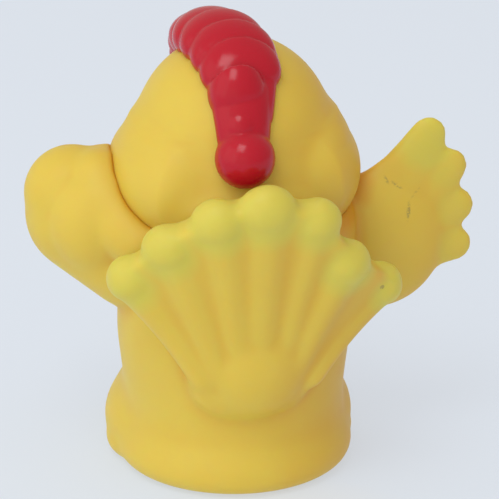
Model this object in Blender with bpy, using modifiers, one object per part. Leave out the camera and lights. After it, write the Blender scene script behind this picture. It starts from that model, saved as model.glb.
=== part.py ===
"""Rubber toy chicken: a small soft-vinyl squeeze toy, metres, +Z up, facing -Y, standing on z = 0.

The hollow body is one moulding with its wings, tail fan and feet. The hollow head snaps over a
collar on the body and turns on it. The comb, beak, wattle and eyes are separate mouldings that
plug into the head, and a reed squeaker is pressed into the hole in the base.
"""

import math

import bmesh
import bpy
from mathutils import Euler, Matrix, Vector

# Gap between touching pieces, and how far a cutter runs past what it cuts
CLEARANCE = 0.0003
OVERRUN = 0.002

# Torso: a turned pot with a rolled hem at its foot
HEM_RADIUS = 0.0156
HEM_ROUND = 0.0034
WAIST_RADIUS = 0.0147
WAIST_HEIGHT = 0.0102
SHOULDER_START = 0.0200
SHOULDER_HEIGHT = 0.0330
SHOULDER_PLATE_RADIUS = 0.0105
BODY_WALL = 0.0019
BASE_WALL = 0.0030

# Yoke: the back of the shoulders, which rises round the head
YOKE_RADIUS = 0.0132
YOKE_HEIGHT = 0.0318
YOKE_WIDTH = 0.0026
YOKE_RISE = 0.0044
YOKE_SPREAD = math.radians(75)
YOKE_STEPS = 15

# Belly and rump, lumps on the torso
BELLY_DEPTH = 0.0163
BELLY_RADIUS = 0.0110
BELLY_HEIGHT = 0.0165
RUMP_REACH = 0.0194
RUMP_HEIGHT = 0.0173
RUMP_RADIUS = 0.0062
RUMP_DEPTH = 0.0044
RUMP_RISE = 0.0050

# Tail fan: feathers spread from the lower back and wrapped round the body
FEATHER_SWINGS = (0.0, math.radians(14), math.radians(31), math.radians(50.5))
FEATHER_LENGTHS = (0.0276, 0.0268, 0.0242, 0.0244)
FAN_LEAN = 0.09
FAN_BOW_INWARDS = 0.128
FAN_BOW_UPWARDS = 0.096
FAN_ROOT_HEIGHT = 0.0140
FAN_ROOT_REACH = 0.0142
FAN_ROOT_SPREAD = 0.30
FAN_TIP_GAP = 0.0003
FEATHER_TIP_RADIUS = 0.0033
FEATHER_TIP_DROP = 0.0002
FEATHER_ROOT_RADIUS = 0.0018
FEATHER_NECK_SHARE = 0.92
FEATHER_RINGS = 4
FAN_WEB_RADIUS = 0.0020

# Wings, as reach from the body's axis and height above the base
WING_ROOT_REACH = 0.0120
RAISED_ROOT_HEIGHT = 0.0272
RAISED_ROOT_RADIUS = 0.0088
RAISED_PALM = (0.0195, 0.0297)
RAISED_PALM_RADIUS = 0.0098
RAISED_TIPS = ((0.0258, 0.0427), (0.0290, 0.0383), (0.0299, 0.0330), (0.0296, 0.0280), (0.0264, 0.0245))
RAISED_FINGER_RADIUS = 0.0061
RAISED_TIP_RADIUS = 0.0023
RAISED_FLATNESS = 0.42
FOLDED_ROOT_HEIGHT = 0.0298
FOLDED_ROOT_RADIUS = 0.0084
FOLDED_ELBOW = (0.0184, -0.0040, 0.0340)
FOLDED_ELBOW_RADIUS = 0.0082
FOLDED_KNUCKLE = (0.0203, -0.0035, 0.0365)
FOLDED_KNUCKLE_RADIUS = 0.0063
FOLDED_FLATNESS = 0.80
FOREARM_RADIUS = 0.0059
WRIST_RADIUS = 0.0048
FOLDED_PALM = (0.0180, -0.0115, 0.0312)
FOLDED_FINGER_RADIUS = 0.0039
FOLDED_TIPS = (
    (0.0170, -0.0190, 0.0335),
    (0.0160, -0.0208, 0.0300),
    (0.0156, -0.0206, 0.0262),
    (0.0160, -0.0182, 0.0230),
)
FOLDED_TIP_RADIUS = 0.0022
WING_WEB_SHARE = 0.84

# Haunches at the sides of the hem, and feet in front of it
HAUNCH_SPREAD = 0.0109
HAUNCH_REACH = 0.0026
HAUNCH_WIDTH = 0.0056
HAUNCH_LENGTH = 0.0066
HAUNCH_RISE = 0.0044
FOOT_SPREAD = 0.0074
FOOT_REACH = 0.0108
FOOT_WIDTH = 0.0052
FOOT_LENGTH = 0.0074
FOOT_THICKNESS = 0.0029
TOE_RADIUS = 0.0022
TOE_SPACING = 0.0032

# Neck: the body's collar snaps through the hole in the head's floor
NECK_RADIUS = 0.0064
NECK_BORE = 0.0048
NECK_BEAD = 0.0012
NECK_BEAD_HEIGHT = 0.0012
HEAD_WALL = 0.0018

# Head: a round cranium over a wide jaw with two puffed cheeks that run on towards the nape
CRANIUM_RADIUS = 0.0126
CRANIUM_HEIGHT = 0.0118
JAW_DEPTH = 0.0138
JAW_SET_BACK = 0.0010
JAW_WIDTH = 0.0138
JAW_HEIGHT = 0.0036
JAW_RISE = 0.0100
CHEEK_RADIUS = 0.0079
CHEEK_SPREAD = 0.0084
CHEEK_HEIGHT = 0.0070
CHEEK_WRAP = math.radians(36)
CHEEK_STEPS = 3
TEMPLE_WIDTH = 0.0147
TEMPLE_DEPTH = 0.0115
TEMPLE_HEIGHT = 0.0106
TEMPLE_RISE = 0.0090

# Comb: ten lobes along the middle of the cranium, from the brow over the crown to the nape
COMB_ANGLES = tuple(math.radians(degrees) for degrees in (-50, -34, -18, -3, 12, 27, 42, 57, 71, 88))
COMB_PROUD = (0.0004, 0.0002, 0.0001, 0.0001, 0.0002, 0.0002, 0.0002, 0.0000, 0.0002, 0.0010)
COMB_WIDTHS = (0.0040, 0.0046, 0.0050, 0.0054, 0.0055, 0.0052, 0.0045, 0.0038, 0.0034, 0.0036)
COMB_LENGTHS = (0.0030, 0.0034, 0.0036, 0.0037, 0.0038, 0.0038, 0.0035, 0.0026, 0.0026, 0.0036)
COMB_THICKNESSES = (0.0026, 0.0026, 0.0024, 0.0024, 0.0024, 0.0026, 0.0028, 0.0034, 0.0026, 0.0036)
COMB_ASIDES = (0.0026, 0.0026, 0.0022, 0.0014, 0.0006, 0.0003, 0.0004, 0.0006, 0.0010, 0.0012)
COMB_STANDOFF = 0.0012
COMB_PEG_RADIUS = 0.0014
COMB_PEG_ASIDE = 0.0015
COMB_PEG_ANGLES = (math.radians(8), math.radians(62))

# Beak, wattle and eyes, plugged into the face
BEAK_HEIGHT = 0.0098
BEAK_LENGTH = 0.0084
BEAK_ROOT_RADIUS = 0.0028
BEAK_TIP_RADIUS = 0.00085
BEAK_TIP_DROP = 0.0015
BEAK_PEG_RADIUS = 0.0014
LOWER_BEAK_LENGTH = 0.0059
LOWER_BEAK_ROOT_RADIUS = 0.0020
LOWER_BEAK_TIP_RADIUS = 0.0007
LOWER_BEAK_DROP = 0.0020
LOWER_BEAK_TIP_DROP = 0.0008
WATTLE_RADIUS = 0.0015
WATTLE_DROP = 0.0020
WATTLE_SPREAD = 0.0012
WATTLE_PEG_RADIUS = 0.0009
EYE_RADIUS = 0.0019
EYE_SPREAD = math.radians(25)
EYE_RISE = math.radians(15)
EYE_SHANK_RADIUS = 0.0009

# Squeaker, pressed into the base
SQUEAKER_FLANGE_RADIUS = 0.0068
SQUEAKER_FLANGE = 0.0012
SQUEAKER_RADIUS = 0.0050
SQUEAKER_BEAD = 0.0008
SQUEAKER_HEIGHT = 0.0090
SQUEAKER_BORE = 0.0026
VENT_RADIUS = 0.0006
VENT_RING = 0.0016
REED_WIDTH = 0.0030
REED_THICKNESS = 0.00024
REED_LENGTH = 0.0060
REED_CLAMP_LENGTH = 0.0020
CHANNEL_WIDTH = 0.0013
CHANNEL_DEPTH = 0.0009
CAP_THICKNESS = 0.0008
CAP_HOLE = 0.0011

# A cutting block's reach, past any part of the toy
FAR = 0.1

# How finely the moulded skins are built, as voxels, smoothing rounds and triangles
SKIN_VOXEL = 0.00060
FITTING_VOXEL = 0.00035
EYE_VOXEL = 0.00028
BODY_ROUNDS = 6
HEAD_ROUNDS = 10
FITTING_ROUNDS = 2
EYE_ROUNDS = 1
BODY_TRIANGLES = 5200
HEAD_TRIANGLES = 1900
COMB_TRIANGLES = 1800
BEAK_TRIANGLES = 500
WATTLE_TRIANGLES = 400
EYE_TRIANGLES = 300
LUMP_SIDES = 24
TURN_STEPS = 40


# Workshop: collections, materials and the modelling steps that every piece shares

for old in list(bpy.data.objects):
    bpy.data.objects.remove(old)

parts = bpy.data.collections.new("rubber_toy_chicken")
bpy.context.scene.collection.children.link(parts)
helpers = bpy.data.collections.new("cutters")
bpy.context.scene.collection.children.link(helpers)


def plastic(name, colour, roughness):
    """An opaque moulded plastic or rubber."""
    material = bpy.data.materials.new(name)
    material.use_nodes = True
    shader = material.node_tree.nodes["Principled BSDF"]
    shader.inputs["Base Color"].default_value = (*colour, 1.0)
    shader.inputs["Roughness"].default_value = roughness
    shader.inputs["Metallic"].default_value = 0.0
    return material


yellow_vinyl = plastic("yellow_vinyl", (0.72, 0.50, 0.08), 0.45)
red_vinyl = plastic("red_vinyl", (0.42, 0.015, 0.04), 0.25)
orange_vinyl = plastic("orange_vinyl", (0.80, 0.24, 0.02), 0.35)
black_plastic = plastic("black_plastic", (0.01, 0.01, 0.012), 0.15)
white_plastic = plastic("white_plastic", (0.80, 0.79, 0.75), 0.4)
reed_film = plastic("reed_film", (0.62, 0.60, 0.52), 0.3)


def as_object(name, bm, collection):
    """A mesh object made from a bmesh, which is freed."""
    bmesh.ops.recalc_face_normals(bm, faces=bm.faces)
    mesh = bpy.data.meshes.new(name)
    bm.to_mesh(mesh)
    bm.free()
    made = bpy.data.objects.new(name, mesh)
    collection.objects.link(made)
    return made


def helper(name, bm):
    """A cutter or a guide, kept out of the render."""
    made = as_object(name, bm, helpers)
    made.hide_render = True
    made.display_type = "WIRE"
    return made


def settle(obj):
    """Replaces an object's mesh by its evaluated one, so that its modifiers are spent."""
    graph = bpy.context.evaluated_depsgraph_get()
    graph.update()
    final = bpy.data.meshes.new_from_object(obj.evaluated_get(graph))
    obj.modifiers.clear()
    obj.data = final
    return obj


def finish(obj, material):
    """Moves an object to the parts, paints it and smooths its round sides."""
    for holder in list(obj.users_collection):
        holder.objects.unlink(obj)
    parts.objects.link(obj)
    obj.hide_render = False
    obj.display_type = "TEXTURED"
    obj.data.materials.clear()
    obj.data.materials.append(material)
    obj.data.shade_smooth()
    obj.data.set_sharp_from_angle(angle=math.radians(40))
    return obj


def round_lump():
    """The ball of radius 1 that every lump is stretched from."""
    bm = bmesh.new()
    bmesh.ops.create_uvsphere(bm, u_segments=LUMP_SIDES, v_segments=LUMP_SIDES // 2, radius=1.0)
    mesh = bpy.data.meshes.new("round_lump")
    bm.to_mesh(mesh)
    bm.free()
    return mesh


lump = round_lump()


def ball(bm, centre, radii, turn=(0.0, 0.0, 0.0)):
    """An ellipsoid lump."""
    placed = lump.copy()
    placed.transform(Matrix.LocRotScale(Vector(centre), Euler(turn), Vector(radii)))
    bm.from_mesh(placed)
    bpy.data.meshes.remove(placed)


def limb(bm, start, end, start_radius, end_radius):
    """A tapered limb with round ends."""
    start, end = Vector(start), Vector(end)
    along = end - start
    middle = Matrix.LocRotScale((start + end) / 2, along.to_track_quat("Z", "Y"), None)
    bmesh.ops.create_cone(
        bm, cap_ends=True, segments=LUMP_SIDES, radius1=start_radius, radius2=end_radius,
        depth=along.length, matrix=middle,
    )
    ball(bm, start, (start_radius,) * 3)
    ball(bm, end, (end_radius,) * 3)


def rod(bm, start, end, radius, sides=20):
    """A plain cylinder between two points."""
    start, end = Vector(start), Vector(end)
    along = end - start
    middle = Matrix.LocRotScale((start + end) / 2, along.to_track_quat("Z", "Y"), None)
    bmesh.ops.create_cone(
        bm, cap_ends=True, segments=sides, radius1=radius, radius2=radius, depth=along.length, matrix=middle,
    )


def block(bm, low, high):
    """A box between two corners."""
    low, high = Vector(low), Vector(high)
    bmesh.ops.create_cube(bm, size=1.0, matrix=Matrix.LocRotScale((low + high) / 2, None, high - low))


def turned(name, profile, steps=TURN_STEPS):
    """A shape turned about Z from (radius, height) points that run down its outer side."""
    bm = bmesh.new()
    points = [bm.verts.new((radius, 0.0, height)) for radius, height in profile]
    for above, below in zip(points, points[1:]):
        bm.edges.new((above, below))
    mesh = bpy.data.meshes.new(name)
    bm.to_mesh(mesh)
    bm.free()
    made = bpy.data.objects.new(name, mesh)
    helpers.objects.link(made)
    made.hide_render = True
    made.display_type = "WIRE"
    screw = made.modifiers.new("turn", "SCREW")
    screw.steps = steps
    screw.render_steps = steps
    screw.use_merge_vertices = True
    screw.merge_threshold = 0.00001
    return settle(made)


def arc(centre, radii, start, end, steps):
    """Points (radius, height) along an ellipse, the angles in degrees from outwards to upwards."""
    angles = [math.radians(start + (end - start) * i / steps) for i in range(steps + 1)]
    return [(centre[0] + radii[0] * math.cos(a), centre[1] + radii[1] * math.sin(a)) for a in angles]


def blend_skin(obj, voxel, rounds, triangles):
    """Melts overlapping lumps into one smooth skin and thins it to about so many triangles."""
    remesh = obj.modifiers.new("melt", "REMESH")
    remesh.mode = "VOXEL"
    remesh.voxel_size = voxel
    smooth = obj.modifiers.new("smooth", "SMOOTH")
    smooth.factor = 0.5
    smooth.iterations = rounds
    settle(obj)
    thin = obj.modifiers.new("thin", "DECIMATE")
    thin.ratio = min(1.0, triangles / (2 * len(obj.data.polygons)))
    thin.use_collapse_triangulate = True
    return settle(obj)


def carve(obj, cutter, operation="DIFFERENCE"):
    """Cuts a shape from an object, or joins it on, and keeps the result."""
    boolean = obj.modifiers.new("carve", "BOOLEAN")
    boolean.operation = operation
    boolean.object = cutter
    boolean.solver = "EXACT"
    return settle(obj)


# Body: torso, belly, rump, fan, wings and feet in one hollow moulding


def torso_profile():
    """The torso's outer side, from its shoulder plate down to its underside."""
    shoulder = arc(
        (SHOULDER_PLATE_RADIUS, SHOULDER_START),
        (WAIST_RADIUS - SHOULDER_PLATE_RADIUS, SHOULDER_HEIGHT - SHOULDER_START),
        90, 0, 8,
    )
    drop = WAIST_HEIGHT - HEM_ROUND
    waist = []
    for i in range(9):
        share = i / 8
        ease = (1 - math.cos(math.pi * share)) / 2
        waist.append((WAIST_RADIUS + (HEM_RADIUS - WAIST_RADIUS) * ease, WAIST_HEIGHT - drop * share))
    hem = arc((HEM_RADIUS - HEM_ROUND, HEM_ROUND), (HEM_ROUND, HEM_ROUND), 0, -90, 6)[1:]
    return [(0.0, SHOULDER_HEIGHT), *shoulder, *waist, *hem, (0.0, 0.0)]


def cavity_profile():
    """The hollow inside the torso, a wall thinner all round, open up through the neck's collar."""
    inner = [
        (radius - BODY_WALL, max(height - BODY_WALL, BASE_WALL))
        for radius, height in torso_profile()[1:-1]
        if radius - BODY_WALL > NECK_BORE and height > BASE_WALL
    ]
    roof = SHOULDER_HEIGHT - BODY_WALL
    mouth = SHOULDER_HEIGHT + neck_height() + OVERRUN
    throat = [(0.0, mouth), (NECK_BORE, mouth), (NECK_BORE, roof)]
    return [*throat, *inner, (inner[-1][0], BASE_WALL), (0.0, BASE_WALL)]


def neck_height():
    """The collar stands up through the head's floor and ends in a bead above it."""
    return CLEARANCE + HEAD_WALL + CLEARANCE + NECK_BEAD_HEIGHT


def comb_tail_reach():
    """How far behind the axis the comb's lowest lobe reaches."""
    return (CRANIUM_RADIUS + COMB_PROUD[-1]) * math.sin(COMB_ANGLES[-1]) + COMB_LENGTHS[-1]


def fan_points():
    """(root, tip, tip radius) of each feather, from the chicken's right to its left."""
    wrap = comb_tail_reach() + FAN_TIP_GAP + FEATHER_TIP_RADIUS
    feathers = []
    outermost = len(FEATHER_SWINGS) - 1
    for i in range(-outermost, outermost + 1):
        length = FEATHER_LENGTHS[abs(i)]
        swing = math.copysign(FEATHER_SWINGS[abs(i)], i)
        along = length * math.sin(swing)
        height = FAN_ROOT_HEIGHT + length * math.cos(swing) + FAN_LEAN * along
        turn = along / wrap
        root = Vector((FAN_ROOT_SPREAD * along, FAN_ROOT_REACH, FAN_ROOT_HEIGHT))
        tip = Vector((wrap * math.sin(turn), wrap * math.cos(turn), height))
        feathers.append((root, tip, FEATHER_TIP_RADIUS - FEATHER_TIP_DROP * abs(i)))
    return feathers


def bowed(root, tip, share):
    """A point along a feather, which starts upright and bends outwards towards its tip."""
    spread = tip.x - root.x
    middle = (root + tip) / 2 + Vector((-FAN_BOW_INWARDS * spread, 0.0, FAN_BOW_UPWARDS * abs(spread)))
    return root.lerp(middle, share).lerp(middle.lerp(tip, share), share)


def add_yoke(bm):
    """A raised rim round the back of the shoulders, from one wing to the other."""
    for step in range(YOKE_STEPS + 1):
        turn = YOKE_SPREAD * (2 * step / YOKE_STEPS - 1)
        centre = (YOKE_RADIUS * math.sin(turn), YOKE_RADIUS * math.cos(turn), YOKE_HEIGHT)
        ball(bm, centre, (YOKE_WIDTH, YOKE_WIDTH, YOKE_RISE))


def add_fan(bm):
    """Seven feathers that widen towards their round tips, with a web between them."""
    feathers = fan_points()
    shares = [ring / FEATHER_RINGS for ring in range(FEATHER_RINGS + 1)]
    stems = [[bowed(root, tip, share) for share in shares] for root, tip, _ in feathers]
    for stem, (_, tip, radius) in zip(stems, feathers):
        widening = FEATHER_NECK_SHARE * radius - FEATHER_ROOT_RADIUS
        widths = [FEATHER_ROOT_RADIUS + widening * share for share in shares]
        for low, high, low_width, high_width in zip(stem, stem[1:], widths, widths[1:]):
            limb(bm, low, high, low_width, high_width)
        ball(bm, tip, (radius,) * 3)
    for stem, following in zip(stems, stems[1:]):
        middles = [(a + b) / 2 for a, b in zip(stem, following)]
        for low, high in zip(middles, middles[1:]):
            limb(bm, low, high, FAN_WEB_RADIUS, FAN_WEB_RADIUS)


def add_fingers(bm, palm, tips, palm_radius, tip_radius):
    """Feather tips spread from a palm, with a web that fills most of the way between them."""
    palm, tips = Vector(palm), [Vector(tip) for tip in tips]
    for tip in tips:
        limb(bm, palm, tip, palm_radius, tip_radius)
    for tip, following in zip(tips, tips[1:]):
        limb(bm, palm, palm.lerp((tip + following) / 2, WING_WEB_SHARE), palm_radius, tip_radius)


def add_raised_wing(bm):
    """The right wing, held up beside the head with its feather tips spread."""
    wing = bmesh.new()
    root = (-WING_ROOT_REACH, 0.0, RAISED_ROOT_HEIGHT)
    palm = (-RAISED_PALM[0], 0.0, RAISED_PALM[1])
    limb(wing, root, palm, RAISED_ROOT_RADIUS, RAISED_PALM_RADIUS)
    tips = [(-reach, 0.0, height) for reach, height in RAISED_TIPS]
    add_fingers(wing, palm, tips, RAISED_FINGER_RADIUS, RAISED_TIP_RADIUS)
    bmesh.ops.scale(wing, vec=(1.0, RAISED_FLATNESS, 1.0), verts=wing.verts)
    merge_into(bm, wing)


def add_folded_wing(bm):
    """The left wing, its elbow out to the side and its feather tips forward."""
    upper = bmesh.new()
    root = (WING_ROOT_REACH, 0.0, FOLDED_ROOT_HEIGHT)
    limb(upper, root, FOLDED_ELBOW, FOLDED_ROOT_RADIUS, FOLDED_ELBOW_RADIUS)
    ball(upper, FOLDED_KNUCKLE, (FOLDED_KNUCKLE_RADIUS,) * 3)
    middle = Matrix.Translation((0.0, FOLDED_ELBOW[1] / 2, 0.0))
    flatten = middle @ Matrix.Diagonal((1.0, FOLDED_FLATNESS, 1.0, 1.0)) @ middle.inverted()
    bmesh.ops.transform(upper, matrix=flatten, verts=upper.verts)
    merge_into(bm, upper)
    limb(bm, FOLDED_ELBOW, FOLDED_PALM, FOREARM_RADIUS, WRIST_RADIUS)
    add_fingers(bm, FOLDED_PALM, FOLDED_TIPS, FOLDED_FINGER_RADIUS, FOLDED_TIP_RADIUS)


def add_feet(bm):
    """A haunch at each side of the hem, and a foot with three toes in front of it."""
    for side in (-1, 1):
        haunch = (side * HAUNCH_SPREAD, -HAUNCH_REACH, HAUNCH_RISE)
        ball(bm, haunch, (HAUNCH_WIDTH, HAUNCH_LENGTH, HAUNCH_RISE))
        ball(bm, (side * FOOT_SPREAD, -FOOT_REACH, FOOT_THICKNESS), (FOOT_WIDTH, FOOT_LENGTH, FOOT_THICKNESS))
        for toe in (-1, 0, 1):
            tip = (
                side * FOOT_SPREAD + toe * TOE_SPACING,
                -FOOT_REACH - FOOT_LENGTH + abs(toe) * TOE_RADIUS / 2,
                TOE_RADIUS,
            )
            limb(bm, (side * FOOT_SPREAD, -FOOT_REACH, TOE_RADIUS), tip, TOE_RADIUS, TOE_RADIUS)


def merge_into(bm, other):
    """Adds one bmesh to another and frees it."""
    carried = bpy.data.meshes.new("carried")
    other.to_mesh(carried)
    other.free()
    bm.from_mesh(carried)
    bpy.data.meshes.remove(carried)


def cheek_sweep(gap, start, end):
    """The curve that the cheeks sweep as the head turns, grown by a gap."""
    centre = (CHEEK_SPREAD, SHOULDER_HEIGHT + CHEEK_HEIGHT)
    return arc(centre, (CHEEK_RADIUS + gap, CHEEK_RADIUS + gap), start, end, 16)


def head_seat():
    """The space that the turning head sweeps, with its clearance, to be cut from the shoulders."""
    base = SHOULDER_HEIGHT
    side = [(radius, max(height, base)) for radius, height in cheek_sweep(CLEARANCE, 90, -90)]
    top = base + CHEEK_HEIGHT + CHEEK_RADIUS + CLEARANCE
    return turned("head_seat", [(0.0, top), *side, (0.0, base)])


def build_body():
    """The hollow moulding that carries everything, with the squeaker's hole in its base."""
    bm = bmesh.new()
    torso = turned("torso", torso_profile())
    bm.from_mesh(torso.data)
    belly_centre = BELLY_DEPTH - BELLY_RADIUS
    ball(bm, (0.0, -belly_centre, BELLY_HEIGHT), (BELLY_RADIUS, BELLY_RADIUS, BELLY_RADIUS))
    ball(bm, (0.0, RUMP_REACH - RUMP_DEPTH, RUMP_HEIGHT), (RUMP_RADIUS, RUMP_DEPTH, RUMP_RISE))
    add_yoke(bm)
    add_fan(bm)
    add_raised_wing(bm)
    add_folded_wing(bm)
    add_feet(bm)
    body = blend_skin(as_object("body", bm, parts), SKIN_VOXEL, BODY_ROUNDS, BODY_TRIANGLES)
    carve(body, head_seat())

    collar_top = SHOULDER_HEIGHT + neck_height()
    bead = collar_top - NECK_BEAD_HEIGHT
    collar = turned("neck_collar", [
        (0.0, collar_top),
        (NECK_RADIUS + NECK_BEAD / 2, collar_top),
        (NECK_RADIUS + NECK_BEAD, bead + NECK_BEAD_HEIGHT / 2),
        (NECK_RADIUS + NECK_BEAD, bead),
        (NECK_RADIUS, bead),
        (NECK_RADIUS, SHOULDER_HEIGHT - BODY_WALL / 2),
        (0.0, SHOULDER_HEIGHT - BODY_WALL / 2),
    ])
    carve(body, collar, "UNION")
    carve(body, turned("body_hollow", cavity_profile()))

    floor = bmesh.new()
    block(floor, (-FAR, -FAR, -FAR), (FAR, FAR, 0.0))
    carve(body, helper("floor_plane", floor))
    recess = SQUEAKER_FLANGE + CLEARANCE
    hole = turned("squeaker_hole", [
        (0.0, BASE_WALL + OVERRUN),
        (SQUEAKER_RADIUS + CLEARANCE, BASE_WALL + OVERRUN),
        (SQUEAKER_RADIUS + CLEARANCE, recess),
        (SQUEAKER_FLANGE_RADIUS + CLEARANCE, recess),
        (SQUEAKER_FLANGE_RADIUS + CLEARANCE, -OVERRUN),
        (0.0, -OVERRUN),
    ])
    carve(body, hole)
    return finish(body, yellow_vinyl)


# Head: cranium, jaw and cheeks in one hollow moulding, with sockets for what plugs into it

CRANIUM_CENTRE = Vector((0.0, 0.0, SHOULDER_HEIGHT + CRANIUM_HEIGHT))


def head_skin():
    """The head's outer side, closed, before it is hollowed."""
    bm = bmesh.new()
    ball(bm, CRANIUM_CENTRE, (CRANIUM_RADIUS,) * 3)
    ball(bm, (0.0, 0.0, SHOULDER_HEIGHT + TEMPLE_HEIGHT), (TEMPLE_WIDTH, TEMPLE_DEPTH, TEMPLE_RISE))
    ball(bm, (0.0, JAW_SET_BACK, SHOULDER_HEIGHT + JAW_HEIGHT), (JAW_WIDTH, JAW_DEPTH, JAW_RISE))
    for step in range(CHEEK_STEPS + 1):
        turn = CHEEK_WRAP * step / CHEEK_STEPS
        aside, back = CHEEK_SPREAD * math.cos(turn), CHEEK_SPREAD * math.sin(turn)
        for side in (-1, 1):
            ball(bm, (side * aside, back, SHOULDER_HEIGHT + CHEEK_HEIGHT), (CHEEK_RADIUS,) * 3)
    skin = blend_skin(as_object("head", bm, parts), SKIN_VOXEL, HEAD_ROUNDS, HEAD_TRIANGLES)
    path = cheek_sweep(0.0, -75, 0)
    outside = CHEEK_SPREAD + 2 * CHEEK_RADIUS
    return carve(skin, turned("outside_sweep", [path[-1], (outside, path[-1][1]), (outside, path[0][1]), *path]))


def head_hollow():
    """The hollow inside the head, with the hole in its floor that the collar snaps through."""
    floor = SHOULDER_HEIGHT + CLEARANCE + HEAD_WALL
    hole = NECK_RADIUS + CLEARANCE
    inner = CRANIUM_RADIUS - HEAD_WALL
    crown = arc((0.0, CRANIUM_CENTRE.z), (inner, inner), 90, 0, 8)
    return turned("head_hollow", [
        *crown,
        (inner, floor),
        (hole, floor),
        (hole, SHOULDER_HEIGHT - OVERRUN),
        (0.0, SHOULDER_HEIGHT - OVERRUN),
    ])


def swollen(skin):
    """A copy of the head's skin grown by the clearance, to cut what sits on it."""
    grown = bpy.data.objects.new("head_swollen", skin.data.copy())
    helpers.objects.link(grown)
    grown.hide_render = True
    grown.display_type = "WIRE"
    swell = grown.modifiers.new("swell", "DISPLACE")
    swell.mid_level = 0.0
    swell.strength = CLEARANCE
    return settle(grown)


def fitting(name, lumps, pegs, swollen_head, fineness, material):
    """A moulding that sits on the head's skin, with pegs into sockets; its sockets are returned too."""
    piece = blend_skin(as_object(name, lumps, parts), *fineness)
    carve(piece, swollen_head)
    sockets = []
    for number, (start, end, radius) in enumerate(pegs):
        peg = bmesh.new()
        rod(peg, start, end, radius)
        carve(piece, helper(f"{name}_peg_{number}", peg), "UNION")
        socket = bmesh.new()
        beyond = (Vector(end) - Vector(start)).normalized() * OVERRUN
        rod(socket, start, Vector(end) + beyond, radius + CLEARANCE)
        sockets.append(helper(f"{name}_socket_{number}", socket))
    return finish(piece, material), sockets


def on_cranium(angle, aside, proud):
    """A point over the middle of the cranium, by its angle back from the crown."""
    reach = CRANIUM_RADIUS + proud
    return CRANIUM_CENTRE + Vector((aside, reach * math.sin(angle), reach * math.cos(angle)))


def build_comb(swollen_head):
    """Overlapping lobes that shrink towards a ball at the nape."""
    bm = bmesh.new()
    lobes = zip(COMB_ANGLES, COMB_PROUD, COMB_WIDTHS, COMB_LENGTHS, COMB_THICKNESSES, COMB_ASIDES)
    for angle, proud, width, length, thickness, aside in lobes:
        ball(bm, on_cranium(angle, aside, proud), (width, thickness, length), (-angle, 0.0, 0.0))
    pegs = []
    for angle in COMB_PEG_ANGLES:
        start = on_cranium(angle, COMB_PEG_ASIDE, COMB_STANDOFF)
        end = on_cranium(angle, COMB_PEG_ASIDE, -HEAD_WALL - OVERRUN)
        pegs.append((start, end, COMB_PEG_RADIUS))
    fineness = (FITTING_VOXEL, FITTING_ROUNDS, COMB_TRIANGLES)
    return fitting("comb", bm, pegs, swollen_head, fineness, red_vinyl)


def face_depth(height):
    """How far in front of the axis the head's skin lies at a height above the shoulders."""
    cranium = CRANIUM_RADIUS**2 - (height - CRANIUM_HEIGHT) ** 2
    jaw = 1 - ((height - JAW_HEIGHT) / JAW_RISE) ** 2
    return max(math.sqrt(max(0.0, cranium)), JAW_DEPTH * math.sqrt(max(0.0, jaw)) - JAW_SET_BACK)


def face_peg(height, radius, standoff):
    """A peg straight back through the face, from inside the piece that it carries."""
    face = face_depth(height - SHOULDER_HEIGHT)
    return (0.0, -face - standoff, height), (0.0, -face + HEAD_WALL + OVERRUN, height), radius


def build_beak(swollen_head):
    """A closed beak, its lower half shorter than its upper one."""
    bm = bmesh.new()
    height = SHOULDER_HEIGHT + BEAK_HEIGHT
    lower = height - LOWER_BEAK_DROP
    face = face_depth(BEAK_HEIGHT)
    root = -face + BEAK_ROOT_RADIUS / 2
    upper_tip = (0.0, -face - BEAK_LENGTH, height - BEAK_TIP_DROP)
    limb(bm, (0.0, root, height), upper_tip, BEAK_ROOT_RADIUS, BEAK_TIP_RADIUS)
    lower_tip = (0.0, -face - LOWER_BEAK_LENGTH, lower - LOWER_BEAK_TIP_DROP)
    limb(bm, (0.0, root, lower), lower_tip, LOWER_BEAK_ROOT_RADIUS, LOWER_BEAK_TIP_RADIUS)
    peg = face_peg(height, BEAK_PEG_RADIUS, BEAK_ROOT_RADIUS / 2)
    fineness = (FITTING_VOXEL, FITTING_ROUNDS, BEAK_TRIANGLES)
    return fitting("beak", bm, [peg], swollen_head, fineness, orange_vinyl)


def build_wattle(swollen_head):
    """Two drops that hang just under the beak."""
    bm = bmesh.new()
    beak_underside = SHOULDER_HEIGHT + BEAK_HEIGHT - LOWER_BEAK_DROP - LOWER_BEAK_ROOT_RADIUS
    height = beak_underside - CLEARANCE - WATTLE_RADIUS
    face = face_depth(height - SHOULDER_HEIGHT)
    ball(bm, (0.0, -face, height), (WATTLE_RADIUS,) * 3)
    for side in (-1, 1):
        drop = (side * WATTLE_SPREAD, -face, height - WATTLE_RADIUS)
        ball(bm, drop, (WATTLE_RADIUS, WATTLE_RADIUS, WATTLE_DROP))
    peg = face_peg(height, WATTLE_PEG_RADIUS, WATTLE_RADIUS / 2)
    fineness = (FITTING_VOXEL, FITTING_ROUNDS, WATTLE_TRIANGLES)
    return fitting("wattle", bm, [peg], swollen_head, fineness, red_vinyl)


def build_eye(side, name, swollen_head):
    """A round bead on a shank."""
    bm = bmesh.new()
    outward = Vector((
        side * math.sin(EYE_SPREAD) * math.cos(EYE_RISE),
        -math.cos(EYE_SPREAD) * math.cos(EYE_RISE),
        math.sin(EYE_RISE),
    ))
    seat = CRANIUM_CENTRE + outward * CRANIUM_RADIUS
    ball(bm, seat, (EYE_RADIUS,) * 3)
    peg = (seat + outward * EYE_RADIUS / 2, seat - outward * (HEAD_WALL + OVERRUN), EYE_SHANK_RADIUS)
    fineness = (EYE_VOXEL, EYE_ROUNDS, EYE_TRIANGLES)
    return fitting(name, bm, [peg], swollen_head, fineness, black_plastic)


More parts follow.
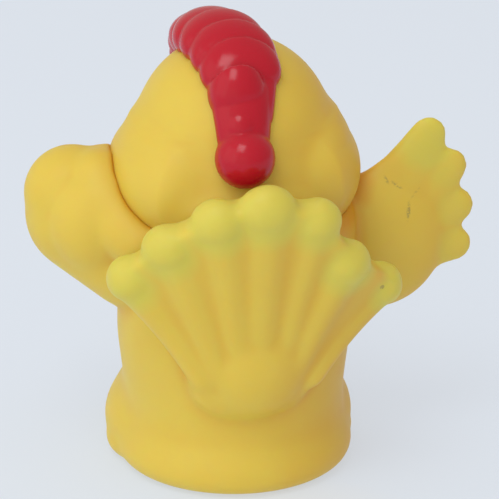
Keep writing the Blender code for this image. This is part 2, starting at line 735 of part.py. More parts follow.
def build_head():
    """The head with all its fittings: it is cut last, by their sockets."""
    skin = head_skin()
    grown = swollen(skin)
    sockets = []
    for piece, holes in (
        build_comb(grown),
        build_beak(grown),
        build_wattle(grown),
        build_eye(1, "left_eye", grown),
        build_eye(-1, "right_eye", grown),
    ):
        sockets += holes
    under = bmesh.new()
    block(under, (-FAR, -FAR, 0.0), (FAR, FAR, SHOULDER_HEIGHT + CLEARANCE))
    carve(skin, helper("under_head", under))
    carve(skin, head_hollow())
    for socket in sockets:
        carve(skin, socket)
    return finish(skin, yellow_vinyl)


# Squeaker: a flanged housing with a reed clamped against a channelled block


def build_squeaker():
    """Its pieces from the outside in: housing, reed block, reed, clamp and cap."""
    floor = SQUEAKER_FLANGE
    bead = BASE_WALL + CLEARANCE
    bead_top = bead + SQUEAKER_BEAD
    neck = SQUEAKER_RADIUS
    housing = turned("squeaker_housing", [
        (0.0, floor),
        (SQUEAKER_BORE, floor),
        (SQUEAKER_BORE, SQUEAKER_HEIGHT),
        (neck, SQUEAKER_HEIGHT),
        (neck, bead_top + SQUEAKER_BEAD),
        (neck + SQUEAKER_BEAD, bead_top),
        (neck + SQUEAKER_BEAD, bead),
        (neck, bead),
        (neck, SQUEAKER_FLANGE),
        (SQUEAKER_FLANGE_RADIUS, SQUEAKER_FLANGE),
        (SQUEAKER_FLANGE_RADIUS, 0.0),
        (0.0, 0.0),
    ])
    for number in range(4):
        angle = math.radians(45 + 90 * number)
        x, y = VENT_RING * math.cos(angle), VENT_RING * math.sin(angle)
        vent = bmesh.new()
        rod(vent, (x, y, -OVERRUN), (x, y, floor + OVERRUN), VENT_RADIUS, 12)
        carve(housing, helper(f"vent_{number}", vent))
    finish(housing, white_plastic)

    plug_radius = SQUEAKER_BORE - CLEARANCE
    block_floor = floor + CLEARANCE
    block_top = SQUEAKER_HEIGHT - CLEARANCE - CAP_THICKNESS
    face = REED_THICKNESS / 2 + CLEARANCE
    reed_floor = block_floor + CLEARANCE

    reed_block = half_plug("reed_block", plug_radius, block_floor, block_top, -face)
    channel = bmesh.new()
    block(
        channel,
        (-CHANNEL_WIDTH / 2, -face - CHANNEL_DEPTH, block_floor - OVERRUN),
        (CHANNEL_WIDTH / 2, OVERRUN, block_top + OVERRUN),
    )
    carve(reed_block, helper("reed_channel", channel))
    finish(reed_block, white_plastic)

    reed = bmesh.new()
    block(
        reed,
        (-REED_WIDTH / 2, -REED_THICKNESS / 2, reed_floor),
        (REED_WIDTH / 2, REED_THICKNESS / 2, reed_floor + REED_LENGTH),
    )
    finish(as_object("reed", reed, parts), reed_film)
    clamp = half_plug("reed_clamp", plug_radius, block_floor, block_floor + REED_CLAMP_LENGTH, face)
    finish(clamp, white_plastic)

    cap_seat = SQUEAKER_HEIGHT + CLEARANCE
    cap = turned("squeaker_cap", [
        (CAP_HOLE, cap_seat + CAP_THICKNESS),
        (neck, cap_seat + CAP_THICKNESS),
        (neck, cap_seat),
        (plug_radius, cap_seat),
        (plug_radius, cap_seat - CAP_THICKNESS),
        (CAP_HOLE, cap_seat - CAP_THICKNESS),
        (CAP_HOLE, cap_seat + CAP_THICKNESS),
    ])
    finish(cap, white_plastic)


def half_plug(name, radius, low, high, face):
    """A round plug cut flat at y = face, keeping the side that the face looks away from."""
    bm = bmesh.new()
    rod(bm, (0.0, 0.0, low), (0.0, 0.0, high), radius, 32)
    made = as_object(name, bm, parts)
    away = bmesh.new()
    if face < 0:
        block(away, (-FAR, face, low - OVERRUN), (FAR, FAR, high + OVERRUN))
    else:
        block(away, (-FAR, -FAR, low - OVERRUN), (FAR, face, high + OVERRUN))
    return carve(made, helper(name + "_cut", away))


build_body()
build_head()
build_squeaker()
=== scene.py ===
import math

import bmesh
import bpy
import numpy as np
from mathutils import Euler, Matrix, Vector
from mathutils.bvhtree import BVHTree


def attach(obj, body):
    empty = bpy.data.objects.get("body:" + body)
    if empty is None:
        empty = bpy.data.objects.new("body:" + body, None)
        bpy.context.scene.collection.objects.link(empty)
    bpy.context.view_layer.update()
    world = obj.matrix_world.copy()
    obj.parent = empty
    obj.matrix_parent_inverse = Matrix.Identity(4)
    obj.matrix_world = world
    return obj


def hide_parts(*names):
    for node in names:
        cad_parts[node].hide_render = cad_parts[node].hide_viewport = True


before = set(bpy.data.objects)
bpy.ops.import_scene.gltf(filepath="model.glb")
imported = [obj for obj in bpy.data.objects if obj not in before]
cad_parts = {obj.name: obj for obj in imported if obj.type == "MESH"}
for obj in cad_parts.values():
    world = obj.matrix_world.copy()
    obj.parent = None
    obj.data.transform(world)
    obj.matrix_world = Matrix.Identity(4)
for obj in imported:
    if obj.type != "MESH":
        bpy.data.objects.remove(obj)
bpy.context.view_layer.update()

# Body: one hollow moulding in soft yellow vinyl, with the torso, belly, tail fan, both wings,
# haunches and feet in one skin. It is cast in a closed mould that turns, so every edge is round,
# and the tips of the tail and of the raised wing are airbrushed lemon.

BODY_VOXEL = 0.00034
FORM_ROUNDS = 26
BASE_ROUNDS = 60
BASE_BAND = (0.0030, 0.0060, 0.0140, 0.0180)
BASE_BACK = (0.0085, 0.0115)
DETAIL_ROUNDS = 14
MOULD_FIT = 0.00003
SEAT_SURPLUS = 0.0002
FACE_PATH = (
    (0.0, 0.0328), (0.0161, 0.0328), (0.0161, 0.0382), (0.0194, 0.0386), (0.0196, 0.0398), (0.0222, 0.0400),
    (0.0222, 0.0455), (0.0, 0.0455),
)
FACE_TURN = 75

LUMP_SIDES = 48
TURN_STEPS = 96
PROFILE_STEPS = 16
HEM_STEPS = 12
SEAT_STEPS = 32
SOFTENING = 0.5
MERGE_DISTANCE = 0.000005
SLICE_DISTANCE = 0.000001
SPACE = 0.1

HEM_RADIUS = 0.0156
HEM_ROUND = 0.0025
WAIST_RADIUS = 0.0143
WAIST_HEIGHT = 0.0080
CHEST_RADIUS = 0.0152
SHOULDER_START = 0.0190
SHOULDER_HEIGHT = 0.0330
SHOULDER_PLATE_RADIUS = 0.0105
BODY_WALL = 0.0019
BASE_WALL = 0.0030
BELLY_CENTRE = (0.0, -0.0053, 0.0165)
BELLY_RADIUS = 0.0110
YOKE_RADIUS = 0.0132
YOKE_HEIGHT = 0.0320
YOKE_RADII = (0.0026, 0.0026, 0.0048)
YOKE_ANGLES = range(15, 166, 6)

FEATHER_TIPS = (
    (-0.0191, 0.0276), (-0.0112, 0.0328), (-0.0066, 0.0394), (0.0, 0.0415),
    (0.0061, 0.0401), (0.0125, 0.0362), (0.0179, 0.0311),
)
FEATHER_TIP_RADII = (0.0031, 0.0035, 0.0033, 0.0038, 0.0035, 0.0035, 0.0035)
TIP_LENGTH_SHARE = 0.88
FEATHER_ROOT_RADII = (0.0016, 0.0016, 0.0016, 0.0024, 0.0016, 0.0016, 0.0016)
FEATHER_NECK_SHARE = 0.95
FEATHER_RISE = 0.0005
FEATHER_OVERLAP = 0.0028
TIP_RISE = 0.0008
FAN_BOW_INWARDS = 0.128
FAN_BOW_UPWARDS = 0.110
FAN_ROOT = (0.30, 0.0142, 0.0140)
FAN_WRAP = 0.0208
FAN_WEB_THICKNESS = 0.0042
FAN_WEB_ROOT_SHARE = 0.8
FAN_WEB_BEYOND = 0.0018
FEATHER_STEPS = 16
FEATHER_START = 3
FAN_FOOT_CENTRE = (0.0005, 0.0130, 0.0160)
FAN_FOOT_RADII = (0.0081, 0.0036, 0.0058)
RUMP_CENTRE = (-0.0001, 0.0135, 0.0193)
RUMP_RADII = (0.0072, 0.0051, 0.0083)

WING_ROOT_REACH = 0.0120
RAISED_ROOT_HEIGHT = 0.0272
RAISED_ROOT_RADIUS = 0.0084
RAISED_PALM = (-0.0187, 0.0, 0.0286)
RAISED_PALM_RADIUS = 0.0095
RAISED_SHOULDER = ((-0.0160, 0.0, 0.0340), (-0.0215, 0.0, 0.0378))
RAISED_SHOULDER_RADIUS = 0.0028
RAISED_TIPS = (
    (-0.0257, 0.0, 0.0426), (-0.0286, 0.0, 0.0381), (-0.0296, 0.0, 0.0326),
    (-0.0294, 0.0, 0.0273), (-0.0258, 0.0, 0.0264),
)
RAISED_FINGER_RADIUS = 0.0068
RAISED_TIP_RADIUS = 0.0027
RAISED_FLATNESS = 0.42
FOLDED_ROOT_HEIGHT = 0.0298
FOLDED_ROOT_RADIUS = 0.0084
FOLDED_ELBOW = (0.0184, -0.0040, 0.0340)
FOLDED_ELBOW_RADIUS = 0.0082
FOLDED_KNUCKLES = (((0.0205, -0.0035, 0.0369), 0.0063), ((0.0158, -0.0030, 0.0368), 0.0064))
FOLDED_FLATNESS = 0.88
FOLDED_SHOULDER = (
    ((0.0174, -0.0006, 0.0388), 0.0046), ((0.0166, 0.0022, 0.0366), 0.0042),
    ((0.0150, 0.0048, 0.0344), 0.0038), ((0.0130, 0.0068, 0.0326), 0.0036),
)
FOLDED_BACK_CENTRE = (0.0163, 0.0004, 0.0344)
FOLDED_BACK_RADII = (0.0080, 0.0062, 0.0078)
FOREARM_RADIUS = 0.0059
WRIST_RADIUS = 0.0048
FOLDED_PALM = (0.0180, -0.0115, 0.0312)
FOLDED_TIPS = (
    (0.0170, -0.0190, 0.0335), (0.0160, -0.0208, 0.0300),
    (0.0156, -0.0206, 0.0262), (0.0160, -0.0182, 0.0230),
)
FOLDED_FINGER_RADIUS = 0.0039
FOLDED_TIP_RADIUS = 0.0022
WING_WEB_SHARE = 0.84
WING_WEB_THINNING = 0.82

HAUNCH_LINE = ((0.0099, -0.0036, 0.0052), (0.0083, -0.0036, 0.0079))
HAUNCH_RADII = (0.0067, 0.0092, 0.0056)
HAUNCH_STEPS = 3
HEEL_CENTRE = (0.0114, -0.0028, 0.0022)
HEEL_RADII = (0.0052, 0.0064, 0.0030)
FOOT_CENTRE = (0.0074, -0.0108, 0.0029)
FOOT_RADII = (0.0052, 0.0074, 0.0029)
TOE_RADIUS = 0.0022
TOE_SPACING = 0.0032

NECK_RADIUS = 0.0064
NECK_BORE = 0.0048
NECK_BEAD = 0.0012
HEAD_WALL = 0.0018
CHEEK_RADIUS = 0.0079
CHEEK_SPREAD = 0.0084
CHEEK_HEIGHT = SHOULDER_HEIGHT + 0.0070
SQUEAKER_FLANGE_RADIUS = 0.0071
SQUEAKER_FLANGE_DEPTH = 0.0015
SQUEAKER_HOLE_RADIUS = 0.0053
OVERRUN = 0.002

lump_bm = bmesh.new()
bmesh.ops.create_uvsphere(lump_bm, u_segments=LUMP_SIDES, v_segments=LUMP_SIDES // 2, radius=1.0)
unit_lump = bpy.data.meshes.new("unit_lump")
lump_bm.to_mesh(unit_lump)
lump_bm.free()


def add_lump(bm, centre, radii, turn=(0.0, 0.0, 0.0)):
    """An ellipsoid of clay."""
    placed = unit_lump.copy()
    placed.transform(Matrix.LocRotScale(Vector(centre), Euler(turn), Vector(radii)))
    bm.from_mesh(placed)
    bpy.data.meshes.remove(placed)


def add_bmesh(bm, other):
    """Moves one bmesh into another."""
    carried = bpy.data.meshes.new("carried")
    other.to_mesh(carried)
    other.free()
    bm.from_mesh(carried)
    bpy.data.meshes.remove(carried)


def add_line(bm, line, radii):
    """A roll of clay along several points, with round ends."""
    for point, radius in zip(line, radii):
        add_lump(bm, point, (radius,) * 3)
    for (start, end), (first, last) in zip(zip(line, line[1:]), zip(radii, radii[1:])):
        along = Vector(end) - Vector(start)
        roll = bmesh.new()
        bmesh.ops.create_cone(
            roll, cap_ends=True, segments=LUMP_SIDES, radius1=first, radius2=last, depth=along.length,
            matrix=Matrix.LocRotScale(Vector(start) + along / 2, along.to_track_quat("Z", "Y"), None),
        )
        add_bmesh(bm, roll)


def arc(centre, radii, start, end, steps):
    """Points (radius, height) along an ellipse, the angles in degrees from outwards to upwards."""
    angles = [math.radians(start + (end - start) * i / steps) for i in range(steps + 1)]
    return [(centre[0] + radii[0] * math.cos(a), centre[1] + radii[1] * math.sin(a)) for a in angles]


def turned(profile):
    """A closed solid turned about Z from (radius, height) points, as a bmesh."""
    bm = bmesh.new()
    points = [bm.verts.new((radius, 0.0, height)) for radius, height in profile]
    edges = [bm.edges.new(pair) for pair in zip(points, points[1:])]
    bmesh.ops.spin(
        bm, geom=[*points, *edges], cent=(0, 0, 0), axis=(0, 0, 1), angle=2 * math.pi,
        steps=TURN_STEPS, use_merge=True, use_duplicate=False,
    )
    bmesh.ops.remove_doubles(bm, verts=bm.verts, dist=MERGE_DISTANCE)
    bmesh.ops.recalc_face_normals(bm, faces=bm.faces)
    return bm


def slice_off(bm, point, outward):
    """Cuts a closed solid by a plane, drops what lies outwards of it and closes the cut."""
    halved = bmesh.ops.bisect_plane(
        bm, geom=[*bm.verts, *bm.edges, *bm.faces], dist=SLICE_DISTANCE,
        plane_co=point, plane_no=outward, clear_outer=True,
    )
    rim = [item for item in halved["geom_cut"] if isinstance(item, bmesh.types.BMEdge)]
    bmesh.ops.edgenet_fill(bm, edges=rim)


def below(height):
    """All the space below a height."""
    space = bmesh.new()
    bmesh.ops.create_cube(space, size=SPACE, matrix=Matrix.Translation((0.0, 0.0, height - SPACE / 2)))
    return space


def as_piece(name, bm):
    """A mesh object from a bmesh, which is freed."""
    mesh = bpy.data.meshes.new(name)
    bm.to_mesh(mesh)
    bm.free()
    made = bpy.data.objects.new(name, mesh)
    bpy.context.scene.collection.objects.link(made)
    return made


def spend(piece):
    """Applies a piece's modifiers."""
    graph = bpy.context.evaluated_depsgraph_get()
    graph.update()
    final = bpy.data.meshes.new_from_object(piece.evaluated_get(graph))
    piece.modifiers.clear()
    piece.data = final
    return piece


def melt(piece, voxel, rounds):
    """Lumps that overlap become one skin, softened as a mould softens clay."""
    skin = piece.modifiers.new("melt", "REMESH")
    skin.mode = "VOXEL"
    skin.voxel_size = voxel
    soften = piece.modifiers.new("soften", "SMOOTH")
    soften.factor = SOFTENING
    soften.iterations = rounds
    return spend(piece)


def read_points(mesh, name):
    """The mesh's points or normals as an array of three columns."""
    values = np.empty(len(mesh.vertices) * 3, np.float32)
    mesh.vertices.foreach_get(name, values)
    return values.reshape(-1, 3).astype(float)


def move_points(piece, points):
    """Puts the points of a piece's mesh in new places."""
    piece.data.vertices.foreach_set("co", points.astype(np.float32).ravel())
    piece.data.update()


def relaxed(piece, rounds):
    """The piece's points after so many rounds of averaging."""
    mesh = piece.data
    count = len(mesh.vertices)
    ends = np.empty(len(mesh.edges) * 2, np.int32)
    mesh.edges.foreach_get("vertices", ends)
    a, b = ends.reshape(-1, 2).T
    share = np.bincount(a, minlength=count) + np.bincount(b, minlength=count)
    soft = read_points(mesh, "co")
    for _ in range(rounds):
        total = np.empty_like(soft)
        for axis in range(3):
            total[:, axis] = np.bincount(a, soft[b, axis], count) + np.bincount(b, soft[a, axis], count)
        soft = (soft + total / share[:, None]) / 2
    return soft


def cut(piece, bm, operation="DIFFERENCE"):
    """Cuts a solid out of a piece, or joins it on."""
    tool = as_piece("tool", bm)
    boolean = piece.modifiers.new("cut", "BOOLEAN")
    boolean.operation = operation
    boolean.object = tool
    boolean.solver = "MANIFOLD"
    spend(piece)
    bpy.data.objects.remove(tool)
    return piece


def torso_profile():
    """The torso's side from the middle of its top to the middle of its base."""
    shoulder = arc(
        (SHOULDER_PLATE_RADIUS, SHOULDER_START),
        (CHEST_RADIUS - SHOULDER_PLATE_RADIUS, SHOULDER_HEIGHT - SHOULDER_START), 90, 0, PROFILE_STEPS,
    )
    turns = ((CHEST_RADIUS, SHOULDER_START), (WAIST_RADIUS, WAIST_HEIGHT), (HEM_RADIUS, HEM_ROUND))
    side = []
    for (radius, height), (next_radius, next_height) in zip(turns, turns[1:]):
        for step in range(1, PROFILE_STEPS + 1):
            share = step / PROFILE_STEPS
            ease = (1 - math.cos(math.pi * share)) / 2
            side.append((radius + (next_radius - radius) * ease, height + (next_height - height) * share))
    hem = arc((HEM_RADIUS - HEM_ROUND, HEM_ROUND), (HEM_ROUND, HEM_ROUND), 0, -90, HEM_STEPS)[1:]
    return [(0.0, SHOULDER_HEIGHT), *shoulder, *side, *hem, (0.0, 0.0)]


def feather_line(along, height):
    """The points from root to tip of one tail feather, by how far round and how high its tip is."""
    turn = along / FAN_WRAP
    root = Vector((FAN_ROOT[0] * along, FAN_ROOT[1], FAN_ROOT[2]))
    tip = Vector((FAN_WRAP * math.sin(turn), FAN_WRAP * math.cos(turn), height))
    spread = tip.x - root.x
    middle = (root + tip) / 2 + Vector((-FAN_BOW_INWARDS * spread, 0.0, FAN_BOW_UPWARDS * abs(spread)))
    shares = [step / FEATHER_STEPS for step in range(FEATHER_STEPS + 1)]
    return [root.lerp(middle, share).lerp(middle.lerp(tip, share), share) for share in shares]


def web_depth(share):
    """Half the thickness of the fan's sheet, at a share of the way up."""
    return FAN_WEB_THICKNESS / 2 * (FAN_WEB_ROOT_SHARE + (1 - FAN_WEB_ROOT_SHARE) * share)


def add_on_fan(bm, line, step, width, depth, length):
    """A flat lump on a feather's line, turned with the fan's face."""
    along = (line[min(step + 1, FEATHER_STEPS)] - line[max(step - 1, 0)]).normalized()
    across = along.cross(Vector((line[step].x, line[step].y, 0.0))).normalized()
    turn = Matrix((across, along.cross(across), along)).transposed().to_euler()
    add_lump(bm, line[step], (width, depth, length), turn)


def fan_web(lines):
    """A sheet between neighbouring feathers that thickens upwards and reaches a little past their tips."""
    web = bmesh.new()
    rows = []
    for line in lines:
        beyond = line[-1] + (line[-1] - line[-2]).normalized() * FAN_WEB_BEYOND
        points = [web.verts.new(point) for point in [*line[FEATHER_START:], beyond]]
        rows.append([web.edges.new(pair) for pair in zip(points, points[1:])])
    for row, following in zip(rows, rows[1:]):
        bmesh.ops.bridge_loops(web, edges=[*row, *following])
    piece = as_piece("web", web)
    upper = piece.vertex_groups.new(name="upper")
    steps = len(piece.data.vertices) // len(lines)
    for index in range(len(piece.data.vertices)):
        upper.add([index], (index % steps) / (steps - 1), "REPLACE")
    thick = piece.modifiers.new("thick", "SOLIDIFY")
    thick.thickness = FAN_WEB_THICKNESS
    thick.vertex_group = "upper"
    thick.thickness_vertex_group = FAN_WEB_ROOT_SHARE
    thick.offset = 0.0
    spend(piece)
    web = bmesh.new()
    web.from_mesh(piece.data)
    bpy.data.objects.remove(piece)
    return web


def add_fingers(bm, palm, tips, palm_radius, tip_radius):
    """Feather tips spread from a palm, with a web between them."""
    palm, tips = Vector(palm), [Vector(tip) for tip in tips]
    for tip in tips:
        add_line(bm, (palm, tip), (palm_radius, tip_radius))
    for tip, following in zip(tips, tips[1:]):
        web_end = palm.lerp((tip + following) / 2, WING_WEB_SHARE)
        add_line(bm, (palm, web_end), (palm_radius * WING_WEB_THINNING, tip_radius * WING_WEB_THINNING))


def head_seat(grow):
    """The space that the cheeks sweep as the head turns, grown by a gap."""
    swept = arc((CHEEK_SPREAD, CHEEK_HEIGHT), (CHEEK_RADIUS + grow,) * 2, 90, -90, SEAT_STEPS)
    side = [(radius, max(height, SHOULDER_HEIGHT)) for radius, height in swept]
    return turned([(0.0, CHEEK_HEIGHT + CHEEK_RADIUS + grow), *side, (0.0, SHOULDER_HEIGHT)])


def face_path():
    """The space beside the left wing that the beak and wattle turn through."""
    path = turned(FACE_PATH)
    turn = math.radians(FACE_TURN)
    for outward in ((math.cos(turn), math.sin(turn), 0.0), (-1.0, 0.0, 0.0)):
        slice_off(path, (0.0, 0.0, 0.0), outward)
    bmesh.ops.recalc_face_normals(path, faces=path.faces)
    return path


feathers = [feather_line(along, height) for along, height in FEATHER_TIPS]

forms = turned(torso_profile())
add_lump(forms, BELLY_CENTRE, (BELLY_RADIUS,) * 3)
for angle in YOKE_ANGLES:
    across, back = math.cos(math.radians(angle)), math.sin(math.radians(angle))
    add_lump(forms, (YOKE_RADIUS * across, YOKE_RADIUS * back, YOKE_HEIGHT), YOKE_RADII)
add_lump(forms, FAN_FOOT_CENTRE, FAN_FOOT_RADII)
add_lump(forms, RUMP_CENTRE, RUMP_RADII)
add_bmesh(forms, fan_web(feathers))
for line, root_radius, tip_radius in zip(feathers, FEATHER_ROOT_RADII, FEATHER_TIP_RADII):
    for step in range(FEATHER_START, FEATHER_STEPS + 1):
        share = step / FEATHER_STEPS
        width = root_radius + (FEATHER_NECK_SHARE * tip_radius - root_radius) * share
        add_on_fan(forms, line, step, width, web_depth(share) + FEATHER_RISE, max(width, FEATHER_OVERLAP))
wing = bmesh.new()
raised_root = (-WING_ROOT_REACH, 0.0, RAISED_ROOT_HEIGHT)
add_line(wing, (raised_root, RAISED_PALM), (RAISED_ROOT_RADIUS, RAISED_PALM_RADIUS))
add_line(wing, RAISED_SHOULDER, (RAISED_SHOULDER_RADIUS,) * 2)
add_fingers(wing, RAISED_PALM, RAISED_TIPS, RAISED_FINGER_RADIUS, RAISED_TIP_RADIUS)
bmesh.ops.scale(wing, vec=(1.0, RAISED_FLATNESS, 1.0), verts=wing.verts)
add_bmesh(forms, wing)
upper = bmesh.new()
folded_root = (WING_ROOT_REACH, 0.0, FOLDED_ROOT_HEIGHT)
add_line(upper, (folded_root, FOLDED_ELBOW), (FOLDED_ROOT_RADIUS, FOLDED_ELBOW_RADIUS))
for centre, radius in FOLDED_KNUCKLES:
    add_lump(upper, centre, (radius,) * 3)
flat = Matrix.Translation((0.0, FOLDED_ELBOW[1] / 2, 0.0))
flatten = flat @ Matrix.Diagonal((1.0, FOLDED_FLATNESS, 1.0, 1.0)) @ flat.inverted()
bmesh.ops.transform(upper, matrix=flatten, verts=upper.verts)
add_bmesh(forms, upper)
add_line(forms, *zip(*FOLDED_SHOULDER))
add_lump(forms, FOLDED_BACK_CENTRE, FOLDED_BACK_RADII)
add_line(forms, (FOLDED_ELBOW, FOLDED_PALM), (FOREARM_RADIUS, WRIST_RADIUS))
for side in (-1, 1):
    for step in range(HAUNCH_STEPS + 1):
        centre = Vector(HAUNCH_LINE[0]).lerp(Vector(HAUNCH_LINE[1]), step / HAUNCH_STEPS)
        add_lump(forms, (side * centre.x, centre.y, centre.z), HAUNCH_RADII)
    add_lump(forms, (side * HEEL_CENTRE[0], *HEEL_CENTRE[1:]), HEEL_RADII)
body = melt(as_piece("body_moulding", forms), BODY_VOXEL, FORM_ROUNDS)
points = read_points(body.data, "co")
share = np.interp(points[:, 2], BASE_BAND, (0.0, 1.0, 1.0, 0.0))
share *= np.interp(points[:, 1], BASE_BACK, (1.0, 0.0))
points += (relaxed(body, BASE_ROUNDS) - points) * share[:, None]
move_points(body, points)
cut(body, head_seat(-SEAT_SURPLUS))
cut(body, face_path())

details = bmesh.new()
details.from_mesh(body.data)
for line, tip_radius in zip(feathers, FEATHER_TIP_RADII):
    length = TIP_LENGTH_SHARE * tip_radius
    add_on_fan(details, line, FEATHER_STEPS, tip_radius, web_depth(1.0) + TIP_RISE, length)
add_fingers(details, FOLDED_PALM, FOLDED_TIPS, FOLDED_FINGER_RADIUS, FOLDED_TIP_RADIUS)
for side in (-1, 1):
    add_lump(details, (side * FOOT_CENTRE[0], *FOOT_CENTRE[1:]), FOOT_RADII)
    for toe in (-1, 0, 1):
        reach = FOOT_CENTRE[1] - FOOT_RADII[1] + abs(toe) * TOE_RADIUS / 2
        root = (side * FOOT_CENTRE[0], FOOT_CENTRE[1], TOE_RADIUS)
        tip = (side * FOOT_CENTRE[0] + toe * TOE_SPACING, reach, TOE_RADIUS)
        add_line(details, (root, tip), (TOE_RADIUS, TOE_RADIUS))
bpy.data.objects.remove(body)
body = melt(as_piece("body_moulding", details), BODY_VOXEL, DETAIL_ROUNDS)

cut(body, head_seat(MOULD_FIT))
collar_top = SHOULDER_HEIGHT + HEAD_WALL + NECK_BEAD
cut(body, turned([
    (0.0, collar_top),
    (NECK_RADIUS + NECK_BEAD / 2, collar_top),
    (NECK_RADIUS + NECK_BEAD, collar_top - NECK_BEAD / 2),
    (NECK_RADIUS + NECK_BEAD, collar_top - NECK_BEAD),
    (NECK_RADIUS, collar_top - NECK_BEAD),
    (NECK_RADIUS, SHOULDER_HEIGHT - BODY_WALL / 2),
    (0.0, SHOULDER_HEIGHT - BODY_WALL / 2),
]), "UNION")
inner = [
    (r - BODY_WALL, max(h - BODY_WALL, BASE_WALL)) for r, h in torso_profile()[1:-1]
    if r - BODY_WALL > NECK_BORE and h > BASE_WALL
]
cut(body, turned([
    (0.0, collar_top + OVERRUN), (NECK_BORE, collar_top + OVERRUN), (NECK_BORE, SHOULDER_HEIGHT - BODY_WALL),
    *inner, (inner[-1][0], BASE_WALL), (0.0, BASE_WALL),
]))
cut(body, below(0.0))
cut(body, turned([
    (0.0, BASE_WALL + OVERRUN),
    (SQUEAKER_HOLE_RADIUS, BASE_WALL + OVERRUN),
    (SQUEAKER_HOLE_RADIUS, SQUEAKER_FLANGE_DEPTH),
    (SQUEAKER_FLANGE_RADIUS, SQUEAKER_FLANGE_DEPTH),
    (SQUEAKER_FLANGE_RADIUS, -OVERRUN),
    (0.0, -OVERRUN),
]))


def hollowness(piece, rounds, depth):
    """How deep in a hollow each point lies, as a share of a depth, or below 0 on a ridge."""
    sunk = (relaxed(piece, rounds) - read_points(piece.data, "co")) * read_points(piece.data, "normal")
    return sunk.sum(1) / depth


def paint(piece, name, values):
    """Stores one number a point under a name that the material reads."""
    layer = piece.data.attributes.new(name, "FLOAT", "POINT")
    layer.data.foreach_set("value", np.clip(values, 0.0, 1.0).astype(np.float32))


SPRAY_REACH = 1.45
SPRAY_FADE = 0.5
WING_SPRAY = 1.4
FAINT_SPRAY = 0.5


def sprayed(points, spots):
    """An airbrush's mask: full over each spot, and gone a little outside it."""
    mask = np.zeros(len(points))
    for centre, radius, strength in spots:
        far = np.linalg.norm(points - np.array(centre), axis=1) / radius
        mask = np.maximum(mask, strength * np.clip((SPRAY_REACH - far) / SPRAY_FADE, 0.0, 1.0))
    return mask


body_points = read_points(body.data, "co")
lemon_spots = [(tuple(line[-1]), radius, 1.0) for line, radius in zip(feathers, FEATHER_TIP_RADII)]
lemon_spots += [(RAISED_TIPS[0], RAISED_TIP_RADIUS * WING_SPRAY, 1.0)]
lemon_spots += [(tip, RAISED_TIP_RADIUS, FAINT_SPRAY) for tip in RAISED_TIPS[1:4]]
paint(body, "tint", sprayed(body_points, lemon_spots))

YELLOW = (0.700, 0.525, 0.072)
# Painted shade colour for creases and for the side away from the lamps, and also the colour of the pigment
# clouds.
SHADE_AND_CLOUD_ORANGE = (0.66, 0.27, 0.010)
LEMON = (0.635, 0.555, 0.083)
SCUFF = (0.20, 0.14, 0.07)
SCUFF_SHARE = 0.5
CREASE_SHADE_SHARE = 0.9
CLOUD_SHARE = 0.14
SPRAY_WEAR_AND_HIGHLIGHT_SHARE = 0.9
GLOSS_SPREAD = 0.12
CLOUD_SCALE = 180.0
GRAIN_SCALE = 2600.0
SPECKLE_SCALE = 3200.0
SPECKLE_GAIN = 5.0
SPECKLE_OFFSET = -1.9
GRAIN_DEPTH = 0.00003
GRAIN_STRENGTH = 0.12
FLESH_SCALE = 0.001
SMOOTH_ANGLE = 50
TOWARD_CAMERA = Vector((0.186, 0.915, 0.358))
WING_FACE = 0.0040
WING_SCUFFS = (
    ((-0.01980, WING_FACE, 0.0374), (0.00080, 0.0050, 0.00030), -65, 1.8),
    ((-0.02110, WING_FACE, 0.0367), (0.00120, 0.0050, 0.00030), -35, 1.8),
    ((-0.02250, WING_FACE, 0.0333), (0.00160, 0.0050, 0.00034), 83, 1.8),
    ((-0.02370, WING_FACE, 0.0355), (0.00130, 0.0050, 0.00022), 42, 0.8),
)
DOT_REACH = (0.00033, 0.0015, 0.00033)
DOT_RISE = -0.0005
DOT_STRENGTH = 16.0


class Wires:
    """A small shorthand for building a node tree."""

    def __init__(self, tree):
        self.tree = tree

    def node(self, kind, settings=None, **inputs):
        """A node of a kind, with its settings and with values or sockets for its inputs."""
        made = self.tree.nodes.new(kind)
        for name, value in (settings or {}).items():
            setattr(made, name, value)
        for name, value in inputs.items():
            self.join(value, made.inputs[name.replace("_", " ")])
        return made

    def join(self, value, socket):
        """Wires a socket to an input, or gives the input a value."""
        if isinstance(value, bpy.types.NodeSocket):
            self.tree.links.new(value, socket)
        else:
            socket.default_value = value

    def blend(self, share, low, high):
        """A colour between two, by a share."""
        made = self.tree.nodes.new("ShaderNodeMix")
        made.data_type = "RGBA"
        self.join(share, made.inputs["Factor"])
        self.join(low, made.inputs["A"])
        self.join(high, made.inputs["B"])
        return made.outputs["Result"]

    def maths(self, operation, first, second=0.0, third=0.0):
        """The result of a Math node."""
        made = self.tree.nodes.new("ShaderNodeMath")
        made.operation = operation
        for value, socket in zip((first, second, third), made.inputs):
            self.join(value, socket)
        return made.outputs[0]


